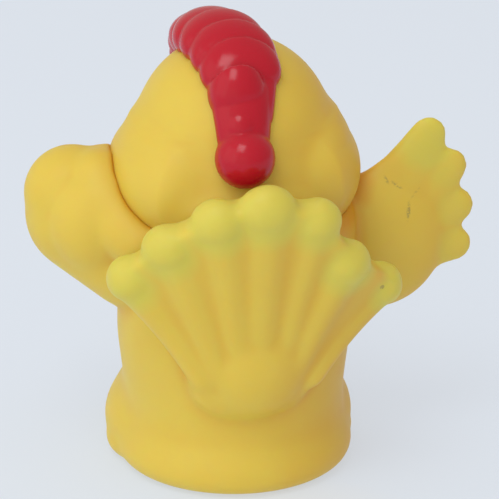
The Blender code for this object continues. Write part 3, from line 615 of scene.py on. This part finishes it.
def vinyl_skin_group():
    """Soft vinyl's surface: pigment clouds, painted shade in creases, spray colour and painted crest
    highlights, uneven gloss, a fine grain.
    """
    group = bpy.data.node_groups.new("vinyl_skin", "ShaderNodeTree")
    for name, kind in (
        ("Main", "NodeSocketColor"), ("Shade_and_cloud", "NodeSocketColor"), ("Spray_wear_and_highlight", "NodeSocketColor"),
        ("Roughness", "NodeSocketFloat"),
    ):
        group.interface.new_socket(name, in_out="INPUT", socket_type=kind)
    for name, kind in (
        ("Color", "NodeSocketColor"), ("Roughness", "NodeSocketFloat"), ("Height", "NodeSocketFloat"),
    ):
        group.interface.new_socket(name, in_out="OUTPUT", socket_type=kind)
    wires = Wires(group)
    given = group.nodes.new("NodeGroupInput")
    result = group.nodes.new("NodeGroupOutput")
    place = wires.node("ShaderNodeTexCoord").outputs["Object"]
    clouds = wires.node("ShaderNodeTexNoise", Vector=place, Scale=CLOUD_SCALE, Detail=2.0).outputs["Fac"]
    grain = wires.node("ShaderNodeTexNoise", Vector=place, Scale=GRAIN_SCALE, Detail=2.0).outputs["Fac"]
    # Painted shade: the crease mask mixes the main colour towards the deeper one in hollows, in contact
    # creases and on the side away from the lamps.
    crease_shade = wires.node("ShaderNodeAttribute", {"attribute_name": "crease_shade"}).outputs["Fac"]
    # The tint mask mixes in the spray colour: real airbrushed lemon on the yellow, and painted highlight and
    # wear on the comb's crests.
    tint = wires.node("ShaderNodeAttribute", {"attribute_name": "tint"}).outputs["Fac"]
    crease_shade_share = wires.maths("MULTIPLY", crease_shade, CREASE_SHADE_SHARE)
    shaded = wires.blend(crease_shade_share, given.outputs["Main"], given.outputs["Shade_and_cloud"])
    cloudy = wires.blend(wires.maths("MULTIPLY", clouds, CLOUD_SHARE), shaded, given.outputs["Shade_and_cloud"])
    spray_wear_and_highlight_colour = wires.blend(wires.maths("MULTIPLY", tint, SPRAY_WEAR_AND_HIGHLIGHT_SHARE), cloudy, given.outputs["Spray_wear_and_highlight"])
    wires.join(spray_wear_and_highlight_colour, result.inputs["Color"])
    uneven = wires.maths("MULTIPLY_ADD", clouds, GLOSS_SPREAD, -GLOSS_SPREAD / 2)
    wires.join(wires.maths("ADD", given.outputs["Roughness"], uneven), result.inputs["Roughness"])
    wires.join(grain, result.inputs["Height"])
    return group


def scuffed_group():
    """Marks of handling: short broken scuffs on the raised wing, and a dark speck on a tail tip."""
    group = bpy.data.node_groups.new("scuffed", "ShaderNodeTree")
    group.interface.new_socket("Color", in_out="INPUT", socket_type="NodeSocketColor")
    group.interface.new_socket("Color", in_out="OUTPUT", socket_type="NodeSocketColor")
    wires = Wires(group)
    given = group.nodes.new("NodeGroupInput")
    result = group.nodes.new("NodeGroupOutput")
    place = wires.node("ShaderNodeTexCoord").outputs["Object"]
    speckle = wires.node("ShaderNodeTexNoise", Vector=place, Scale=SPECKLE_SCALE, Detail=2.0).outputs["Fac"]
    broken = wires.maths("MULTIPLY_ADD", speckle, SPECKLE_GAIN, SPECKLE_OFFSET)
    tip = feathers[0][-1] + TOWARD_CAMERA * FEATHER_TIP_RADII[0] + Vector((0.0, 0.0, DOT_RISE))
    marks = [*WING_SCUFFS, (tuple(tip), DOT_REACH, 0, DOT_STRENGTH)]
    total = 0.0
    for centre, reach, turn, strength in marks:
        mapping = wires.node("ShaderNodeMapping", {"vector_type": "TEXTURE"}, Vector=place)
        mapping.inputs["Location"].default_value = centre
        mapping.inputs["Rotation"].default_value = (0.0, math.radians(turn), 0.0)
        mapping.inputs["Scale"].default_value = reach
        placed = mapping.outputs["Vector"]
        spot = wires.node("ShaderNodeTexGradient", {"gradient_type": "SPHERICAL"}, Vector=placed)
        total = wires.maths("MULTIPLY_ADD", spot.outputs["Fac"], strength, total)
    mask = wires.maths("MULTIPLY", total, broken)
    mask.node.use_clamp = True
    share = wires.maths("MULTIPLY", mask, SCUFF_SHARE)
    wires.join(wires.blend(share, given.outputs["Color"], (*SCUFF, 1.0)), result.inputs["Color"])
    return group


vinyl_skin = vinyl_skin_group()


def vinyl(name, main, shaded, spray_wear_and_highlight, roughness, shine, flesh, glow, marks=None):
    """A vinyl material. A share of its light, glow, goes under the skin, as far as flesh in millimetres."""
    material = bpy.data.materials.new(name)
    material.use_nodes = True
    wires = Wires(material.node_tree)
    shader = material.node_tree.nodes["Principled BSDF"]
    skin = material.node_tree.nodes.new("ShaderNodeGroup")
    skin.node_tree = vinyl_skin
    skin.inputs["Main"].default_value = (*main, 1.0)
    skin.inputs["Shade_and_cloud"].default_value = (*shaded, 1.0)
    skin.inputs["Spray_wear_and_highlight"].default_value = (*spray_wear_and_highlight, 1.0)
    skin.inputs["Roughness"].default_value = roughness
    bump = wires.node(
        "ShaderNodeBump", Strength=GRAIN_STRENGTH, Distance=GRAIN_DEPTH, Height=skin.outputs["Height"],
    )
    colour = skin.outputs["Color"]
    if marks:
        marked = material.node_tree.nodes.new("ShaderNodeGroup")
        marked.node_tree = marks
        wires.join(colour, marked.inputs["Color"])
        colour = marked.outputs["Color"]
    wires.join(colour, shader.inputs["Base Color"])
    wires.join(skin.outputs["Roughness"], shader.inputs["Roughness"])
    wires.join(bump.outputs["Normal"], shader.inputs["Normal"])
    shader.inputs["Specular IOR Level"].default_value = shine
    shader.inputs["Subsurface Weight"].default_value = glow
    shader.inputs["Subsurface Radius"].default_value = flesh
    shader.inputs["Subsurface Scale"].default_value = FLESH_SCALE
    return material


yellow_vinyl = vinyl(
    "yellow_vinyl_skin", YELLOW, SHADE_AND_CLOUD_ORANGE, LEMON,
    roughness=0.46, shine=0.35, flesh=(2.4, 1.1, 0.2), glow=0.45, marks=scuffed_group(),
)


def dress(piece, material):
    """Gives a piece its material, and smooth shading but for sharp edges."""
    piece.data.materials.clear()
    piece.data.materials.append(material)
    piece.data.shade_smooth()
    piece.data.set_sharp_from_angle(angle=math.radians(SMOOTH_ANGLE))


dress(body, yellow_vinyl)
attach(body, "body")
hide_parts("body")

# Squeaker: a white housing pressed into the hole in the base, with a reed that a clamp holds
# against a channelled block, and a cap. All are small injection-moulded parts that keep their
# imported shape.

WHITE = (0.80, 0.79, 0.75)
REED_FILM = (0.62, 0.60, 0.52)
PLASTIC_CLOUD_SCALE = 400.0
PLASTIC_SHADE = 0.86
PLASTIC_GLOSS_SPREAD = 0.2


def plain_plastic(name, colour, roughness):
    """A hard plastic material with faint clouds in its colour and gloss."""
    material = bpy.data.materials.new(name)
    material.use_nodes = True
    wires = Wires(material.node_tree)
    shader = material.node_tree.nodes["Principled BSDF"]
    place = wires.node("ShaderNodeTexCoord").outputs["Object"]
    clouds = wires.node("ShaderNodeTexNoise", Vector=place, Scale=PLASTIC_CLOUD_SCALE, Detail=3.0)
    clouds = clouds.outputs["Fac"]
    darker = tuple(channel * PLASTIC_SHADE for channel in colour)
    wires.join(wires.blend(clouds, (*colour, 1.0), (*darker, 1.0)), shader.inputs["Base Color"])
    spread = PLASTIC_GLOSS_SPREAD
    uneven = wires.maths("MULTIPLY_ADD", clouds, spread, roughness - spread / 2)
    wires.join(uneven, shader.inputs["Roughness"])
    return material


white_plastic = plain_plastic("white_plastic_moulded", WHITE, roughness=0.42)
reed_film = plain_plastic("reed_film_sheet", REED_FILM, roughness=0.3)
for node, material, slot in (
    ("squeaker_housing", white_plastic, "white_plastic"),
    ("squeaker_cap", white_plastic, "white_plastic"),
    ("reed_block", white_plastic, "white_plastic"),
    ("reed_clamp", white_plastic, "white_plastic"),
    ("reed", reed_film, "reed_film"),
):
    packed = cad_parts[node]
    packed.material_slots[0].material = material

# Head: a hollow moulding in the same yellow vinyl, with a round cranium over a wide jaw and two
# puffed cheeks that fade towards the nape. The hole in its floor snaps over the collar on the
# body, and it turns there.

HEAD_VOXEL = 0.00034
HEAD_ROUNDS = 110
HEAD_SHRINK = 0.00026
CHEEK_SHRINK = 0.0010
CRANIUM_RADIUS = 0.0126
CRANIUM = Vector((0.0, 0.0, SHOULDER_HEIGHT + 0.0118))
TEMPLE_CENTRE = (0.0, 0.0, SHOULDER_HEIGHT + 0.0106)
TEMPLE_RADII = (0.0150, 0.0118, 0.0093)
NAPE_CENTRE = (0.0, 0.0008, SHOULDER_HEIGHT + 0.0088)
NAPE_RADII = (0.0138, 0.0128, 0.0095)
JAW_CENTRE = (0.0, 0.0010, SHOULDER_HEIGHT + 0.0036)
JAW_RADII = (0.0149, 0.0147, 0.0108)
CHEEK_WRAP = (0, 12, 24)
SEAT_EASE = 0.0001
SEAT_FADE = (0.0048, 0.0075)
AXIS_GUARD = 0.002
CRANIUM_CLAY = (CRANIUM_RADIUS + HEAD_SHRINK,) * 3

clay = bmesh.new()
add_lump(clay, CRANIUM, CRANIUM_CLAY)
add_lump(clay, TEMPLE_CENTRE, TEMPLE_RADII)
add_lump(clay, NAPE_CENTRE, NAPE_RADII)
add_lump(clay, JAW_CENTRE, JAW_RADII)
for turn in CHEEK_WRAP:
    aside, back = CHEEK_SPREAD * math.cos(math.radians(turn)), CHEEK_SPREAD * math.sin(math.radians(turn))
    for side in (-1, 1):
        add_lump(clay, (side * aside, back, CHEEK_HEIGHT), (CHEEK_RADIUS + CHEEK_SHRINK,) * 3)
head = melt(as_piece("head_moulding", clay), HEAD_VOXEL, HEAD_ROUNDS)


def press_to_seat(piece):
    """Presses the clay that stands out past the curve that the cheeks sweep back onto that curve."""
    points = read_points(piece.data, "co")
    outward = np.maximum(np.hypot(points[:, 0], points[:, 1]), AXIS_GUARD)
    aside, rise = outward - CHEEK_SPREAD, points[:, 2] - CHEEK_HEIGHT
    reach = np.maximum(np.hypot(aside, rise), AXIS_GUARD)
    past = np.maximum(reach - CHEEK_RADIUS + SEAT_EASE, 0.0)
    pressed = np.minimum(reach, CHEEK_RADIUS - SEAT_EASE * np.exp(-past / SEAT_EASE))
    near = np.clip((SEAT_FADE[1] - rise) / (SEAT_FADE[1] - SEAT_FADE[0]), 0.0, 1.0) * (aside > 0.0)
    scale = 1 + (pressed / reach - 1) * near
    points[:, :2] *= ((CHEEK_SPREAD + aside * scale) / outward)[:, None]
    points[:, 2] = CHEEK_HEIGHT + rise * scale
    move_points(piece, points)


press_to_seat(head)
cut(head, below(SHOULDER_HEIGHT + MOULD_FIT))
head_skin = bmesh.new()
head_skin.from_mesh(head.data)
head_floor = SHOULDER_HEIGHT + MOULD_FIT + HEAD_WALL
hollow = CRANIUM_RADIUS - HEAD_WALL
hole = NECK_RADIUS + MOULD_FIT
cut(head, turned([
    *arc((0.0, CRANIUM.z), (hollow, hollow), 90, 0, PROFILE_STEPS),
    (hollow, head_floor),
    (hole, head_floor),
    (hole, SHOULDER_HEIGHT - OVERRUN),
    (0.0, SHOULDER_HEIGHT - OVERRUN),
]))
dress(head, yellow_vinyl)
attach(head, "head")
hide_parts("head")

CREASE_ROUNDS = 70
CREASE_DEPTH = 0.0006
CREASE_REACH = 0.0030
CREASE_SIDES = (0.22, 1.0)
CREASE_CORE = 5
CREASE_TURNOVER = 0.026
HEAD_CREASE_SHARE = 0.5
SHADE = 0.55
SHADE_FROM = (0.95, 0.05, 0.20)


def closeness(piece, other, reach):
    """How near a piece comes to another at each point, up to 1 where they meet: a mask of painted shade in
    the crease, wider on the right, where the shade is deeper.
    """
    tree = BVHTree.FromPolygons(
        [tuple(point) for point in read_points(other.data, "co")],
        [tuple(face.vertices) for face in other.data.polygons],
    )
    points = read_points(piece.data, "co")
    near = np.zeros(len(points))
    for i, point in enumerate(points):
        distance = tree.find_nearest(point, reach)[3]
        if distance is not None:
            near[i] = 1 - distance / reach
    right_shade_share = np.clip(0.5 - points[:, 0] / CREASE_TURNOVER, *CREASE_SIDES)
    return np.maximum(near * right_shade_share, near**CREASE_CORE)


def shade(piece):
    """How far each point turns away from the light: a share of painted shade, a deeper yellow on the side
    away from the lamps.
    """
    return -SHADE * read_points(piece.data, "normal") @ Vector(SHADE_FROM).normalized()


# Painted shade on body and head: a deeper orange in hollows, in the crease where they meet, and on the side
# turned away from the lamps.
for piece, other, strength in ((body, head, 1.0), (head, body, HEAD_CREASE_SHARE)):
    near = strength * closeness(piece, other, CREASE_REACH)
    shaded = np.maximum(hollowness(piece, CREASE_ROUNDS, CREASE_DEPTH), near)
    paint(piece, "crease_shade", np.maximum(shaded, 0.0) + np.maximum(shade(piece), 0.0))

# Comb: a separate moulding in glossy red vinyl that runs from the brow over the crown to the nape,
# where it ends in a ball. Its lobes overlap like shingles, each with a pale crest that is painted as
# highlight and wear, and it leans to the left at the brow.

COMB_VOXEL = 0.00017
COMB_ROUNDS = 8
COMB_CREASE_ROUNDS = 25
COMB_CREASE_DEPTH = 0.0003
WEAR_AND_HIGHLIGHT_START = 0.8
WEAR_AND_HIGHLIGHT_GAIN = 2.4
LOBE_CRESTS = (-58, -44, -31, -18, -5, 9, 23)
LOBE_WIDTHS = (0.0036, 0.0042, 0.0047, 0.0052, 0.0055, 0.0055, 0.0052)
LOBE_HEIGHTS = (0.0027, 0.0031, 0.0034, 0.0036, 0.0037, 0.0037, 0.0036)
LOBE_ASIDES = (0.0029, 0.0029, 0.0028, 0.0024, 0.0017, 0.0010, 0.0006)
LOBE_LENGTH = 0.0052
LOBE_SET_BACK = 0.0010
LOBE_PITCH = 4
LOBE_BOW = 0.33
KNOB = (40, 0.0015, (0.0037, 0.0048, 0.0041))
SPINE_PITCH = 3
SPINES = (
    (26, 62, (0.0004, 0.0050, 0.0024), (0.0010, 0.0038, 0.0022)),
    (50, 74, (0.0011, 0.0039, 0.0030), (0.0012, 0.0034, 0.0026)),
)
SPINE_LENGTH = 0.0030
BUMP = (68, 0.0016, 0.0007, 0.0023)
BALL = (85.5, 0.0013, 0.0010, 0.0038)
RED = (0.470, 0.003, 0.018)
# Painted shade colour in the comb's and wattle's hollows, and also the colour of their pigment clouds.
SHADE_AND_CLOUD_RED = (0.34, 0.001, 0.007)
# Pale pink painted on the lobes' crests, as highlight and wear.
WEAR_AND_HIGHLIGHT_RED = (0.78, 0.27, 0.32)


def on_cranium(angle, aside, proud=0.0):
    """A point over the middle of the cranium, by its angle back from the crown in degrees."""
    reach = CRANIUM_RADIUS + proud
    angle = math.radians(angle)
    return CRANIUM + Vector((aside, reach * math.sin(angle), reach * math.cos(angle)))


def add_lobe(bm, crest, aside, radii):
    """A lump on the cranium, cut off at its front, where its crest bows forward."""
    back = crest + math.degrees(LOBE_SET_BACK / (CRANIUM_RADIUS + radii[2]))
    lobe = bmesh.new()
    add_lump(lobe, (0.0, 0.0, 0.0), radii)
    slice_off(lobe, (0.0, -LOBE_SET_BACK, 0.0), (0.0, -1.0, 0.0))
    for point in lobe.verts:
        point.co.y += LOBE_BOW * radii[0] * (point.co.x / radii[0]) ** 2
    turn = Euler((-math.radians(back + LOBE_PITCH), 0.0, 0.0)).to_matrix().to_4x4()
    bmesh.ops.transform(lobe, matrix=Matrix.Translation(on_cranium(back, aside)) @ turn, verts=lobe.verts)
    bmesh.ops.recalc_face_normals(lobe, faces=lobe.faces)
    add_bmesh(bm, lobe)


clay = bmesh.new()
for crest, width, height, aside in zip(LOBE_CRESTS, LOBE_WIDTHS, LOBE_HEIGHTS, LOBE_ASIDES):
    add_lobe(clay, crest, aside, (width, LOBE_LENGTH, height))
add_lobe(clay, *KNOB)
for start, end, first, last in SPINES:
    for angle in range(start, end + 1, SPINE_PITCH):
        aside, width, height = Vector(first).lerp(Vector(last), (angle - start) / (end - start))
        radii = (width, SPINE_LENGTH, height)
        add_lump(clay, on_cranium(angle, aside), radii, (-math.radians(angle), 0.0, 0.0))
for angle, aside, proud, radius in (BUMP, BALL):
    add_lump(clay, on_cranium(angle, aside, proud), (radius,) * 3)
comb = melt(as_piece("comb_moulding", clay), COMB_VOXEL, COMB_ROUNDS)


def seat_on_head(piece):
    """Cuts away what lies inside the head's skin."""
    return cut(piece, head_skin.copy())


seat_on_head(comb)
comb_hollows = hollowness(comb, COMB_CREASE_ROUNDS, COMB_CREASE_DEPTH)
# Painted shade: the comb's hollows are mixed towards the deeper red.
paint(comb, "crease_shade", comb_hollows)
# Painted highlight and wear: the sharper crests, below 0 in hollowness, are mixed towards pale pink.
paint(comb, "tint", -WEAR_AND_HIGHLIGHT_START - WEAR_AND_HIGHLIGHT_GAIN * comb_hollows)
red_vinyl = vinyl(
    "red_vinyl_skin", RED, SHADE_AND_CLOUD_RED, WEAR_AND_HIGHLIGHT_RED,
    roughness=0.20, shine=0.34, flesh=(1.0, 0.2, 0.1), glow=0.08,
)
dress(comb, red_vinyl)
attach(comb, "head")
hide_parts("comb")

# Beak: glossy orange vinyl, with its lower half shorter than its upper one. It is moulded in one
# piece and plugged into the face.

FITTING_VOXEL = 0.00014
FITTING_ROUNDS = 3
FITTING_CREASE_ROUNDS = 20
FITTING_CREASE_DEPTH = 0.0002
BEAK_HEIGHT = SHOULDER_HEIGHT + 0.0098
BEAK_LENGTH = 0.0084
BEAK_ROOT_RADIUS = 0.0028
BEAK_TIP_RADIUS = 0.00085
BEAK_TIP_DROP = 0.0015
LOWER_BEAK_LENGTH = 0.0059
LOWER_BEAK_ROOT_RADIUS = 0.0020
LOWER_BEAK_TIP_RADIUS = 0.0007
LOWER_BEAK_DROP = 0.0020
LOWER_BEAK_TIP_DROP = 0.0008
ORANGE_BEAK = (0.80, 0.24, 0.02)
# Painted shade colour in the beak's hollows, and also the colour of its pigment clouds.
SHADE_AND_CLOUD_BEAK_ORANGE = (0.55, 0.10, 0.008)

face = math.sqrt(CRANIUM_RADIUS**2 - (BEAK_HEIGHT - CRANIUM.z) ** 2)
root = -face + BEAK_ROOT_RADIUS / 2
lower = BEAK_HEIGHT - LOWER_BEAK_DROP
clay = bmesh.new()
tip = (0.0, -face - BEAK_LENGTH, BEAK_HEIGHT - BEAK_TIP_DROP)
add_line(clay, ((0.0, root, BEAK_HEIGHT), tip), (BEAK_ROOT_RADIUS, BEAK_TIP_RADIUS))
lower_tip = (0.0, -face - LOWER_BEAK_LENGTH, lower - LOWER_BEAK_TIP_DROP)
add_line(clay, ((0.0, root, lower), lower_tip), (LOWER_BEAK_ROOT_RADIUS, LOWER_BEAK_TIP_RADIUS))
beak = melt(as_piece("beak_moulding", clay), FITTING_VOXEL, FITTING_ROUNDS)
seat_on_head(beak)
# Painted shade: the beak's hollows, such as the cleft between its halves, are mixed towards the deeper
# orange.
paint(beak, "crease_shade", hollowness(beak, FITTING_CREASE_ROUNDS, FITTING_CREASE_DEPTH))
orange_vinyl = vinyl(
    "orange_vinyl_skin", ORANGE_BEAK, SHADE_AND_CLOUD_BEAK_ORANGE, ORANGE_BEAK,
    roughness=0.32, shine=0.45, flesh=(1.0, 0.3, 0.1), glow=0.2,
)
dress(beak, orange_vinyl)
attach(beak, "head")
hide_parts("beak")

# Wattle: two drops of the comb's red vinyl that hang just under the beak. They are moulded in one
# piece with the lump that they hang from, which is fixed to the front of the jaw.

WATTLE_RADIUS = 0.0015
WATTLE_DROP = 0.0020
WATTLE_SPREAD = 0.0012
WATTLE_GAP = 0.0003

wattle_height = lower - LOWER_BEAK_ROOT_RADIUS - WATTLE_GAP - WATTLE_RADIUS
wattle_face = JAW_CENTRE[1] - JAW_RADII[1]
clay = bmesh.new()
add_lump(clay, (0.0, wattle_face, wattle_height), (WATTLE_RADIUS,) * 3)
for side in (-1, 1):
    drop = (side * WATTLE_SPREAD, wattle_face, wattle_height - WATTLE_RADIUS)
    add_lump(clay, drop, (WATTLE_RADIUS, WATTLE_RADIUS, WATTLE_DROP))
wattle = melt(as_piece("wattle_moulding", clay), FITTING_VOXEL, FITTING_ROUNDS)
seat_on_head(wattle)
# Painted shade: the wattle's hollows are mixed towards the deeper red.
paint(wattle, "crease_shade", hollowness(wattle, FITTING_CREASE_ROUNDS, FITTING_CREASE_DEPTH))
dress(wattle, red_vinyl)
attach(wattle, "head")
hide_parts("wattle")

# Eyes: two polished beads in hard black plastic, one on each side above the beak. Each sits on a
# shank that is pushed into the face.

EYE_RADIUS = 0.0019
EYE_SPREAD = math.radians(25)
EYE_RISE = math.radians(15)
BLACK = (0.012, 0.011, 0.012)

black_plastic = plain_plastic("black_plastic_polished", BLACK, roughness=0.14)
for side, name in ((1, "left_eye"), (-1, "right_eye")):
    outward = Vector((
        side * math.sin(EYE_SPREAD) * math.cos(EYE_RISE),
        -math.cos(EYE_SPREAD) * math.cos(EYE_RISE),
        math.sin(EYE_RISE),
    ))
    clay = bmesh.new()
    add_lump(clay, CRANIUM + outward * CRANIUM_RADIUS, (EYE_RADIUS,) * 3)
    eye = as_piece(name + "_bead", clay)
    seat_on_head(eye)
    dress(eye, black_plastic)
    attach(eye, "head")
    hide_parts(name)

# Studio: a pale table top under a soft sky and three lamps, and a camera behind the toy and a little
# above it, where the photograph was taken from.

FLOOR_SIZE = 1.6
COOL_WHITE = (0.272, 0.293, 0.325)
# The warm colour of a painted pool of bounce light on the table.
BOUNCE_LIGHT_WHITE = (0.288, 0.284, 0.273)
TABLE_GLOW = 1.72
TABLE_ROUGHNESS = 0.8
TABLE_SHINE = 0.1
SKY = 0.64
SKY_SLOPE = 0.20
SKY_DIRECTION = (0.7, 0.2, 0.6)
SKY_COLOUR = (1.0, 0.95, 0.88, 1.0)
BOUNCE_LIGHT_CENTRE = (0.0, 0.030, 0.0)
BOUNCE_LIGHT_REACH = 0.022
LAMP_TARGET = Vector((0.0, 0.0, 0.030))
CAMERA_TARGET = Vector((0.0, 0.0, 0.028))
CAMERA_DISTANCE = 0.45
CAMERA_SHIFT = (0.032, 0.009)
CAMERA_NEAR = 0.01
PHOTO_PIXELS = 499
PIXELS_PER_MILLIMETRE = 7.716
FRAME_WIDTH = PHOTO_PIXELS / PIXELS_PER_MILLIMETRE / 1000
SENSOR = 36.0

table_bm = bmesh.new()
bmesh.ops.create_grid(table_bm, x_segments=1, y_segments=1, size=FLOOR_SIZE)
table = as_piece("table_top", table_bm)
table_paint = bpy.data.materials.new("table_paint")
table_paint.use_nodes = True
wires = Wires(table_paint.node_tree)
place = wires.node("ShaderNodeTexCoord").outputs["Object"]
# Painted light: a warm pool on the table in front of the base, standing in for light that the yellow toy
# throws back onto it.
mapping = wires.node("ShaderNodeMapping", {"vector_type": "TEXTURE"}, Vector=place)
mapping.inputs["Location"].default_value = BOUNCE_LIGHT_CENTRE
mapping.inputs["Scale"].default_value = (BOUNCE_LIGHT_REACH,) * 3
bounce_light_pool = wires.node("ShaderNodeTexGradient", {"gradient_type": "SPHERICAL"}, Vector=mapping.outputs["Vector"])
white_and_bounce_light = wires.blend(bounce_light_pool.outputs["Fac"], (*COOL_WHITE, 1.0), (*BOUNCE_LIGHT_WHITE, 1.0))
shader = table_paint.node_tree.nodes["Principled BSDF"]
wires.join(white_and_bounce_light, shader.inputs["Base Color"])
wires.join(white_and_bounce_light, shader.inputs["Emission Color"])
shader.inputs["Emission Strength"].default_value = TABLE_GLOW
shader.inputs["Roughness"].default_value = TABLE_ROUGHNESS
shader.inputs["Specular IOR Level"].default_value = TABLE_SHINE
table.data.materials.append(table_paint)

world = bpy.data.worlds.new("studio")
world.use_nodes = True
wires = Wires(world.node_tree)
around = wires.node("ShaderNodeTexCoord").outputs["Generated"]
facing = wires.node("ShaderNodeVectorMath", {"operation": "DOT_PRODUCT"})
wires.join(around, facing.inputs[0])
facing.inputs[1].default_value = Vector(SKY_DIRECTION).normalized()
shader = world.node_tree.nodes["Background"]
shader.inputs["Color"].default_value = SKY_COLOUR
wires.join(wires.maths("MULTIPLY_ADD", facing.outputs["Value"], SKY_SLOPE, SKY), shader.inputs["Strength"])
bpy.context.scene.world = world


def soft_light(name, direction, distance, size, energy, colour, shines=True):
    """A square lamp that faces the toy, and shows in its shine or doesn't."""
    data = bpy.data.lights.new(name, "AREA")
    data.size = size
    data.energy = energy
    data.color = colour
    lamp = bpy.data.objects.new(name, data)
    bpy.context.scene.collection.objects.link(lamp)
    toward = Vector(direction).normalized()
    lamp.location = LAMP_TARGET + toward * distance
    lamp.rotation_euler = toward.to_track_quat("Z", "Y").to_euler()
    lamp.visible_glossy = shines


soft_light(
    "key_light", (0.30, 0.43, 0.85), distance=0.6, size=0.27, energy=0.82, colour=(0.90, 0.97, 1.0),
)
soft_light(
    "side_light", (0.95, 0.25, 0.35), distance=0.9, size=0.9, energy=1.1, colour=(0.92, 0.98, 1.0),
)
soft_light(
    "camera_light", (0.55, 0.88, 0.05), distance=0.7, size=0.7, energy=1.6, colour=(0.96, 1.0, 0.98),
    shines=False,
)

camera = bpy.data.objects.new("camera", bpy.data.cameras.new("camera"))
bpy.context.scene.collection.objects.link(camera)
camera.location = CAMERA_TARGET + TOWARD_CAMERA * CAMERA_DISTANCE
camera.rotation_euler = TOWARD_CAMERA.to_track_quat("Z", "Y").to_euler()
camera.data.sensor_width = SENSOR
camera.data.lens = SENSOR * CAMERA_DISTANCE / FRAME_WIDTH
camera.data.shift_x, camera.data.shift_y = CAMERA_SHIFT
camera.data.clip_start = CAMERA_NEAR
bpy.context.scene.camera = camera
bpy.context.scene.view_settings.view_transform = "Standard"
